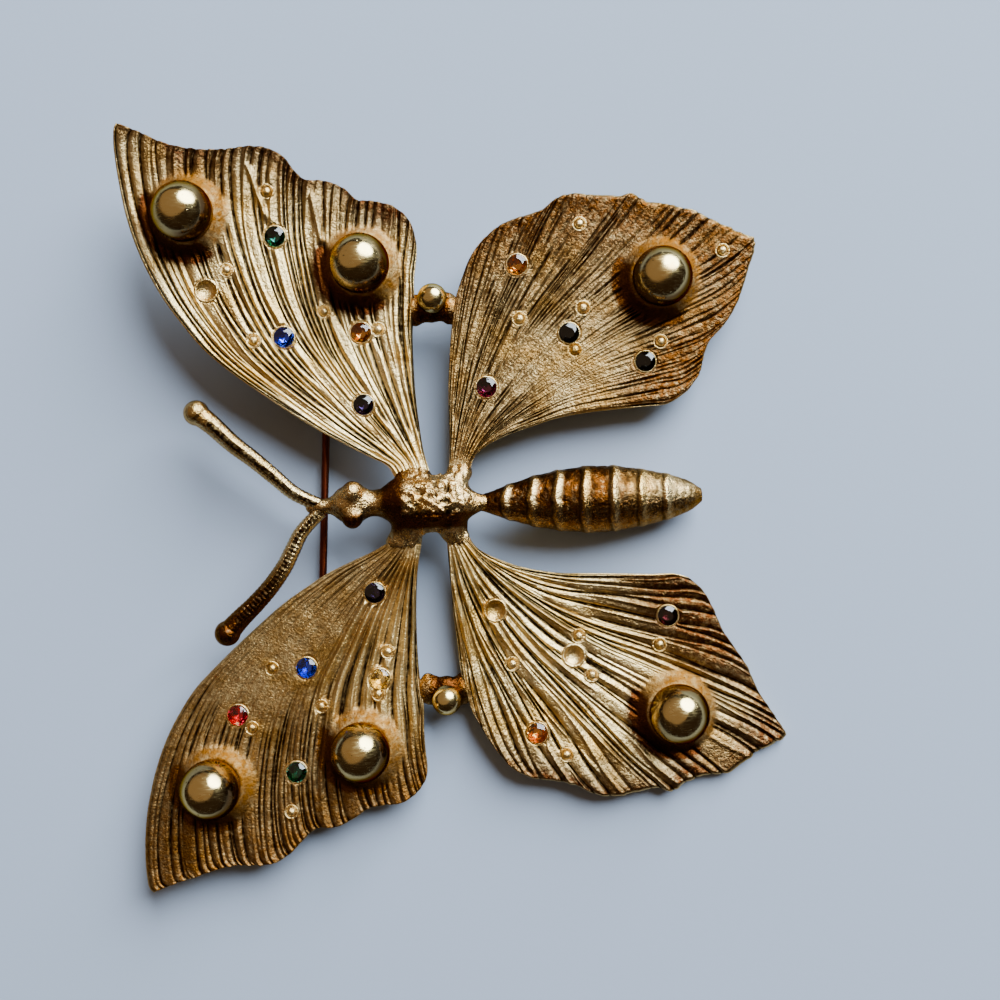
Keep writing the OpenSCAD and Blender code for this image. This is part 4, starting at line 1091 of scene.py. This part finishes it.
def spread_on_seats(name, seats, profile, around, material, spread=0.0):
    """Copies of a turned shape on the seats, as one plain mesh."""
    points, faces = lathe(profile, around)
    shape = make_mesh(name + "_shape", points, faces, Matrix.Identity(4))
    frames = [PLACE @ on_wing(*seat) for seat in seats]
    holder = bpy.data.meshes.new(name + "_seats")
    holder.from_pydata([tuple(m.translation * MM) for m in frames], [], [])
    facing = [tuple((m.to_3x3() @ Vector((0, 0, 1))).normalized()) for m in frames]
    holder.attributes.new("facing", "FLOAT_VECTOR", "POINT").data.foreach_set("vector", np.array(facing).ravel())
    tree = bpy.data.node_groups.get("shape_on_seats") or seat_tree()
    mesh = grown_by(tree, new_object(name + "_seats", holder),
                    {"Shape": shape, "Scale": 1.0, "Spread": spread, "Material": material})
    mesh.shade_smooth()
    mesh.name = name
    bpy.data.objects.remove(shape)
    return new_object(name, mesh)


def sweep_tree():
    """Geometry nodes that draw a profile along a route, as thick as each point of it says, with a ball at its
    end."""
    tree, given = new_tree("antenna_on_route", {"Route": "Geometry", "Profile": "Object", "Club Radius": "Float",
                                                "Material": "Material"}, "Antenna")
    line = node(tree, "GeometryNodeMeshToCurve", {"Mesh": given["Route"]}, "Curve")
    upright = node(tree, "GeometryNodeSetCurveNormal", {"Curve": line}, "Curve", mode="Z_UP")
    girth = node(tree, "GeometryNodeInputNamedAttribute", {"Name": "girth"}, "Attribute", data_type="FLOAT")
    outline = node(tree, "GeometryNodeObjectInfo", {"Object": given["Profile"]}, "Geometry")
    ring = node(tree, "GeometryNodeMeshToCurve", {"Mesh": outline}, "Curve")
    stem = node(tree, "GeometryNodeCurveToMesh", {"Curve": upright, "Profile Curve": ring, "Scale": girth,
                                                  "Fill Caps": True}, "Mesh")
    ball = node(tree, "GeometryNodeMeshIcoSphere", {"Radius": given["Club Radius"],
                                                   "Subdivisions": CLUB_CUTS}, "Mesh")
    at_end = node(tree, "GeometryNodeInputNamedAttribute", {"Name": "club"}, "Attribute", data_type="BOOLEAN")
    club = node(tree, "GeometryNodeInstanceOnPoints", {"Points": given["Route"], "Instance": ball,
                                                       "Selection": at_end}, "Instances")
    both = node(tree, "GeometryNodeJoinGeometry", {"Geometry": stem})
    tree.links.new(club, both.inputs["Geometry"])
    return end_tree(tree, both.outputs["Geometry"], given["Material"])


def antenna_profile():
    """A ring of radius 1 with two raised ridges on top and a groove between them."""
    angle = np.arange(PROFILE_POINTS) * 2 * math.pi / PROFILE_POINTS
    off_top = np.angle(np.exp(1j * angle))
    ridges = 0.42 * np.exp(-((np.abs(off_top) - 0.62) / 0.2) ** 2)
    notch = 0.42 * np.exp(-(off_top / 0.26) ** 2)
    mesh = bpy.data.meshes.new("antenna_profile")
    reach = 1 + ridges - notch
    mesh.from_pydata([(r * math.sin(a), r * math.cos(a), 0) for r, a in zip(reach, angle)],
                     [(k, (k + 1) % PROFILE_POINTS) for k in range(PROFILE_POINTS)], [])
    return new_object("antenna_profile", mesh)


def grow_antenna(name, route, club_stain_and_shade):
    """A ridged, nicked stem along its route, which ends in a round club, as one plain mesh."""
    sizes = bpy.context.scene.brooch_sizes
    stem_r, club_r = sizes.antenna / MM, sizes.club / MM
    s, centre, heading = antenna_route(route, 240)
    length = np.concatenate([[0], np.cumsum(np.linalg.norm(np.diff(centre, axis=0), axis=1))])
    left = length[-1] - length
    girth = stem_r * (0.92 + 0.45 * s) + 0.34 * np.exp(-left / 1.5)
    girth = girth + 0.02 * np.sin(length * 2 * math.pi / NICK_STEP) * smooth(left, 2.0, 3.4)
    stem = left > club_r
    line = np.array([tuple((PLACE @ Vector(p)) * MM) for p in centre[stem]])
    end = np.array(tuple((PLACE @ Vector(centre[-1] - heading[-1] * club_r)) * MM))
    holder = bpy.data.meshes.new(name + "_route")
    count = len(line)
    holder.from_pydata([*map(tuple, line), tuple(end)], [(k, k + 1) for k in range(count - 1)], [])
    paint(holder, {"girth": np.append(girth[stem] * MM, 0)})
    holder.attributes.new("club", "BOOLEAN", "POINT").data.foreach_set("value", [False] * count + [True])
    mesh = grown_by(bpy.data.node_groups.get("antenna_on_route") or sweep_tree(),
                    new_object(name + "_route", holder),
                    {"Profile": bpy.data.objects.get("antenna_profile") or antenna_profile(),
                     "Club Radius": club_r * MM, "Material": casting_material()})
    mesh.name = name
    mesh.materials.clear()
    form = bmesh.new()
    form.from_mesh(mesh)
    bmesh.ops.recalc_face_normals(form, faces=form.faces)
    form.to_mesh(mesh)
    form.free()
    mesh.shade_smooth()

    # Dirt along the groove, painted shade on the underside, and more brown towards the club: stain, and on the
    # left antenna, away from the window, mostly painted shade
    spots = np.zeros(len(mesh.vertices) * 3)
    mesh.vertices.foreach_get("co", spots)
    spots = spots.reshape(-1, 3)
    near = np.argmin(((spots[:, None, :] - line[None, ::4, :]) ** 2).sum(-1), axis=1)
    out = spots - line[::4][near]
    flat = out @ np.array(tuple(NORMAL)) / np.maximum(np.linalg.norm(out, axis=1), 1e-9)
    on_stem = smooth(np.linalg.norm(spots - end, axis=1) / MM, 1.5, 2.4)
    brown = 0.2 + 0.8 * smooth(-flat, -0.6, 0.2) + club_stain_and_shade * smooth(near / near.max(), 0.2, 0.8)
    paint(mesh, {"dirt": 0.9 * smooth(flat, 0.92, 0.97) * on_stem, "brown": brown,
                 "tarnish": np.full(len(flat), 0.2), "gloss": np.full(len(flat), 0.8)})
    return new_object(name, mesh)


def made_once(name, maker):
    """The material of that name, or a new one from its maker."""
    return bpy.data.materials.get(name) or maker()


def casting_material():
    """The one finish of all that is cast."""
    return made_once("antiqued_cast_gold", antiqued_casting)


def cast(piece):
    """Finishes a piece of the casting."""
    return finish_piece(piece, [casting_material()], ("butterfly_casting",))


def polish(piece, node_name):
    """Finishes a polished ball that stands for a node."""
    return finish_piece(piece, [made_once("polished_gold_plate", polished_plate)], (node_name,))


class BroochSizes(bpy.types.PropertyGroup):
    antenna: FloatProperty(name="Antenna", description="Radius of an antenna's stem", default=0.73 * MM,
                           unit="LENGTH")
    club: FloatProperty(name="Club", description="Radius of the club at an antenna's end", default=1.27 * MM,
                        unit="LENGTH")
    ball: FloatProperty(name="Bridge ball", description="Radius of the ball on each bridge", default=1.5 * MM,
                        unit="LENGTH")


class BroochColours(bpy.types.PropertyGroup):
    gold: StringProperty(name="Gold", description="Satin gold on the crests of the casting", default="#e6ca8e")
    gold_deep: StringProperty(name="Deep gold", description="Warmer gold in blotches", default="#c09a54")
    # The patina's red-brown also paints shade on the body, antennae, bridges and in the domes' lee, and the dark
    # reflection low on the domes
    patina_and_shade: StringProperty(name="Patina", description="Red-brown towards the margins", default="#42200c")
    # The orange also paints a warm reflection on the abdomen's side away from the window
    tarnish: StringProperty(name="Tarnish", description="Brown-gold round the collars and bridges",
                            default="#85520a")
    groove: StringProperty(name="Groove", description="Dark lacquer in the grooves", default="#160802")
    polish: StringProperty(name="Polish", description="Polished plate of the domes", default="#cbb57c")
    finding: StringProperty(name="Finding", description="Plate of the hinge and catch", default="#c79a55")
    wire: StringProperty(name="Wire", description="Gilt wash of the pin wire", default="#6e3420")
    wire_dark: StringProperty(name="Dark wire", description="Worn lines of the pin wire", default="#401810")
    floor: StringProperty(name="Floor", description="Card that the brooch lies on", default="#8f9aae")


class BroochStage(bpy.types.PropertyGroup):
    distance: FloatProperty(name="Camera distance", description="From the brooch's plane to the camera",
                            default=0.115, unit="LENGTH")
    field: FloatProperty(name="Field", description="Width of the view at the brooch's plane", default=0.1,
                         unit="LENGTH")
    roll: FloatProperty(name="Roll", description="Turn of the view, abdomen end up", default=math.radians(2.1),
                        subtype="ANGLE")
    window: FloatProperty(name="Window", description="Power of the soft window light", default=42.5, unit="POWER")
    fill: FloatProperty(name="Fill", description="Brightness of the room", default=0.035)
    ceiling: FloatProperty(name="Ceiling", description="Power of the warm ceiling that the domes mirror",
                           default=9.0, unit="POWER")


class BROOCH_OT_wings(bpy.types.Operator):
    """Casts the four ribbed wings"""
    bl_idname = "brooch.wings"
    bl_label = "Wings"

    def execute(self, context):
        for wing in WINGS:
            cast(build_wing(wing))
        return {"FINISHED"}


class BROOCH_OT_body(bpy.types.Operator):
    """Casts the thorax with head and necks, the ringed abdomen and the two antennae"""
    bl_idname = "brooch.body"
    bl_label = "Body"

    def execute(self, context):
        cast(build_trunk())
        cast(build_abdomen())
        # The last number is how much browner each antenna grows towards its club; the left one's is mostly
        # painted shade
        for name, route, club_stain_and_shade in (("right_antenna", RIGHT_ANTENNA, 0.2), ("left_antenna", LEFT_ANTENNA, 0.9)):
            cast(grow_antenna(name, route, club_stain_and_shade))
        bpy.data.objects.remove(bpy.data.objects["antenna_profile"])
        return {"FINISHED"}


# The bars between the wings, beyond the slots: forewing, hindwing, and each end's share of its wing's span
BRIDGES = {"right": (RIGHT_FORE, RIGHT_HIND, 0.505, 0.65), "left": (LEFT_FORE, LEFT_HIND, 0.49, 0.63)}
BRIDGE_CELL = 0.09
BALL_RISE = 0.9
# Radii of a bridge at its middle and its ends and of the fillet rods beside its ends, in mm
BRIDGE_R = (1.25, 0.95)
FILLET_R = (0.7, 0.3)


def build_bridge(name, fore, hind, q_fore, q_hind):
    """A waisted bar that flows into both wings, as one skin, and the ball in its cup."""
    a, b = (np.array([*wing_plan(wing, p, q), wing_height(wing, p, q) - 0.3])
            for wing, p, q in ((fore, 0.05, q_fore), (hind, 0.06, q_hind)))
    low, high = np.minimum(a, b) - (3.2, 3.4, 2.4), np.maximum(a, b) + (3.2, 3.4, 3.2)
    grid = np.meshgrid(*[np.arange(s, e, BRIDGE_CELL) for s, e in zip(low, high)], indexing="ij")
    mid = (a + b) / 2
    field = blend_min(cone_rod(grid, mid, a, *BRIDGE_R, 0.75), cone_rod(grid, mid, b, *BRIDGE_R, 0.75), 0.3)
    for end, side in ((a, -1.2), (a, 1.2), (b, -1.2), (b, 1.2)):
        field = blend_min(field, cone_rod(grid, end, end + (0.0, side, -0.2), *FILLET_R, 0.6), 1.2)
    seat = mid + (0.1, fore["side"] * 0.9, WING_THICK / 2 - 0.2)
    field = blend_min(field, ellipsoid(grid, seat - (0, 0, 0.35), (1.5, 1.5, 0.75)), 0.5)
    field += 0.05 * noise_3d(grid[0] * 1.6, grid[1] * 1.6, grid[2] * 1.6, 41)
    points, quads = skin_of(field, low, BRIDGE_CELL)
    # Darker and less orange along the bar beside the ball: the ball's painted shadow
    near = 1 - smooth(np.abs(points[:, 0] - seat[0]), 1.0, 2.2)
    finish = {"dirt": np.full(len(points), 0.1), "brown": 0.75 + 0.6 * near,
              "tarnish": 0.6 - 0.5 * near, "gloss": np.full(len(points), 0.5)}
    bar = make_mesh(name + "_bridge", points, [quads], finish=finish)
    radius = bpy.context.scene.brooch_sizes.ball / MM
    profile = [(0, -radius), *arc(radius, 0, math.pi, 40)[1:], (0, radius)]
    points, faces = lathe(profile, 56)
    ball = make_mesh(name + "_bridge_ball", points, faces, PLACE @ Matrix.Translation(seat + (0, 0, BALL_RISE)))
    return bar, ball


class BROOCH_OT_bridges(bpy.types.Operator):
    """Casts the two bars between the wings, each with its polished ball"""
    bl_idname = "brooch.bridges"
    bl_label = "Bridges"

    def execute(self, context):
        for name, ends in BRIDGES.items():
            bar, ball = build_bridge(name, *ends)
            cast(bar)
            polish(ball, "butterfly_casting")
        return {"FINISHED"}


class BROOCH_OT_domes(bpy.types.Operator):
    """Polishes the six domes in their collars"""
    bl_idname = "brooch.domes"
    bl_label = "Domes"

    def execute(self, context):
        for name in DOMES:
            polish(build_dome(name), name)
        return {"FINISHED"}


class BROOCH_OT_stones(bpy.types.Operator):
    """Cuts the small round stones and foils their backs"""
    bl_idname = "brooch.stones"
    bl_label = "Stones"

    def execute(self, context):
        for name, seat in STONES.items():
            kind = seat[3]
            glass = made_once(kind + "_cut_glass", lambda: glass_crown(kind))
            foil = made_once(kind + "_foil", lambda: glass_foil(kind))
            finish_piece(build_stone(name), [glass, foil], (name,))
        return {"FINISHED"}


RIM_R = STONE_R + 0.02
# Profiles of what is seated in the wings: radius and height over the wing's face, in mm
RIM = [(0, -0.62), (RIM_R + 0.12, -0.62), (RIM_R + 0.2, -0.3), (RIM_R + 0.16, -0.04), (RIM_R + 0.1, 0.04),
       (RIM_R + 0.05, 0.07), (RIM_R + 0.02, 0.06), (RIM_R, 0.02), (RIM_R, -0.56), (0, -0.56)]
CUP = [(0, -0.62), (RIM_R + 0.12, -0.62), (RIM_R + 0.26, -0.3), (RIM_R + 0.2, 0.0), (RIM_R + 0.12, 0.07),
       (RIM_R + 0.04, 0.08), (RIM_R - 0.04, 0.04), (0.9, -0.08), (0.75, -0.22), (0.5, -0.36), (0.25, -0.44),
       (0, -0.46)]
BEAD = [(0, -0.5), (0.66, -0.5), (0.78, -0.3), (0.78, -0.04), (0.74, 0.03), (0.68, 0.04), (0.62, -0.02),
        (0.54, -0.14), (0.47, -0.16), (0.45, -0.06), (0.43, 0.06), (0.37, 0.17), (0.26, 0.25), (0.13, 0.29),
        (0, 0.3)]
BEAD_SPREAD = 0.06


class BROOCH_OT_seats(bpy.types.Operator):
    """Sets the rims round the stones, the hollows of the lost ones and the small beads, by geometry nodes"""
    bl_idname = "brooch.seats"
    bl_label = "Seats and beads"

    def execute(self, context):
        stone_seats = [seat[:3] for seat in STONES.values()]
        for name, seats, profile, around, spread in (
                ("stone_rims", stone_seats, RIM, 40, 0.0), ("empty_seats", EMPTY_SEATS, CUP, 48, 0.0),
                ("small_beads", BEADS, BEAD, 28, BEAD_SPREAD)):
            cast(spread_on_seats(name, seats, profile, around, casting_material(), spread))
        return {"FINISHED"}


class BROOCH_OT_pin(bpy.types.Operator):
    """Gives the hinge, the catch and the pin wire their metals"""
    bl_idname = "brooch.pin"
    bl_label = "Pin"

    def execute(self, context):
        finding = made_once("stamped_brass_finding", stamped_finding)
        for name, material in (("hinge_bracket", finding), ("pin_catch", finding),
                               ("pin_stem", made_once("coppered_wire", drawn_wire))):
            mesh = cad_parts[name].data
            mesh.materials.clear()
            mesh.materials.append(material)
        return {"FINISHED"}


FLOOR_HALF = 1500.0
AIM_X = 4.6
SENSOR = 36.0
CLIP_START = 0.005
ROOM_TINT = (1.0, 0.6, 0.35, 1.0)
# The lights: azimuth and height in degrees, distance and width in metres, and tint
LIGHTS = {"window": (54, 37, 0.9, 0.86, (0.84, 0.94, 1.0)), "ceiling": (130, 62, 1.3, 3.2, (1.0, 0.7, 0.44))}


class BROOCH_OT_stage(bpy.types.Operator):
    """Lays the pale card, and sets the two lights and the camera over the brooch's plane"""
    bl_idname = "brooch.stage"
    bl_label = "Stage"

    def execute(self, context):
        look = context.scene.brooch_stage
        corners = [(-FLOOR_HALF, -FLOOR_HALF, 0), (FLOOR_HALF, -FLOOR_HALF, 0), (FLOOR_HALF, FLOOR_HALF, 0),
                   (-FLOOR_HALF, FLOOR_HALF, 0)]
        floor = make_mesh("floor", corners, [np.array([[0, 1, 2, 3]])], Matrix.Identity(4))
        floor.data.materials.append(floor_board())
        world = bpy.data.worlds.new("room")
        world.use_nodes = True
        room = world.node_tree.nodes["Background"].inputs
        room["Color"].default_value, room["Strength"].default_value = ROOM_TINT, look.fill
        context.scene.world = world
        target = (PLACE @ Vector((AIM_X, 0, 0))) * MM
        for name, (azimuth, height, away, wide, tint) in LIGHTS.items():
            light = bpy.data.lights.new(name, "AREA")
            light.shape = "DISK"
            light.size, light.energy, light.color = wide, getattr(look, name), tint
            azimuth, height = math.radians(azimuth), math.radians(height)
            toward = Vector((math.cos(azimuth) * math.cos(height), math.sin(azimuth) * math.cos(height),
                             math.sin(height)))
            lamp = new_object(name, light)
            lamp.location = target + toward * away
            lamp.rotation_euler = toward.to_track_quat("Z", "Y").to_euler()
        camera = new_object("camera", bpy.data.cameras.new("camera"))
        camera.data.sensor_width = SENSOR
        camera.data.lens = SENSOR * look.distance / look.field
        camera.data.clip_start = CLIP_START
        up = (PLACE.to_3x3() @ Vector((math.sin(look.roll), math.cos(look.roll), 0))).normalized()
        turn = Matrix((up.cross(NORMAL), up, NORMAL)).transposed()
        camera.matrix_world = Matrix.Translation(target + NORMAL * look.distance) @ turn.to_4x4()
        context.scene.camera = camera
        return {"FINISHED"}


class BROOCH_PT_panel(bpy.types.Panel):
    """Lists the brooch's parts"""
    bl_label = "Brooch"
    bl_idname = "BROOCH_PT_panel"
    bl_space_type = "VIEW_3D"
    bl_region_type = "UI"
    bl_category = "Brooch"

    def draw(self, context):
        for operator in OPERATORS:
            self.layout.operator(operator.bl_idname)
        for group in (context.scene.brooch_sizes, context.scene.brooch_colours, context.scene.brooch_stage):
            for key in group.__annotations__:
                self.layout.prop(group, key)


OPERATORS = [BROOCH_OT_wings, BROOCH_OT_body, BROOCH_OT_bridges, BROOCH_OT_domes, BROOCH_OT_stones,
             BROOCH_OT_seats, BROOCH_OT_pin, BROOCH_OT_stage]
GROUPS = {"brooch_sizes": BroochSizes, "brooch_colours": BroochColours, "brooch_stage": BroochStage}
CLASSES = [*GROUPS.values(), *OPERATORS, BROOCH_PT_panel]


def register():
    for item in CLASSES:
        bpy.utils.register_class(item)
    for name, group in GROUPS.items():
        setattr(bpy.types.Scene, name, PointerProperty(type=group))


def unregister():
    for name in GROUPS:
        delattr(bpy.types.Scene, name)
    for item in reversed(CLASSES):
        bpy.utils.unregister_class(item)


def main():
    register()
    bpy.ops.brooch.wings()
    bpy.ops.brooch.body()
    bpy.ops.brooch.bridges()
    bpy.ops.brooch.domes()
    bpy.ops.brooch.stones()
    bpy.ops.brooch.seats()
    bpy.ops.brooch.pin()
    bpy.ops.brooch.stage()


if __name__ == "__main__":
    main()
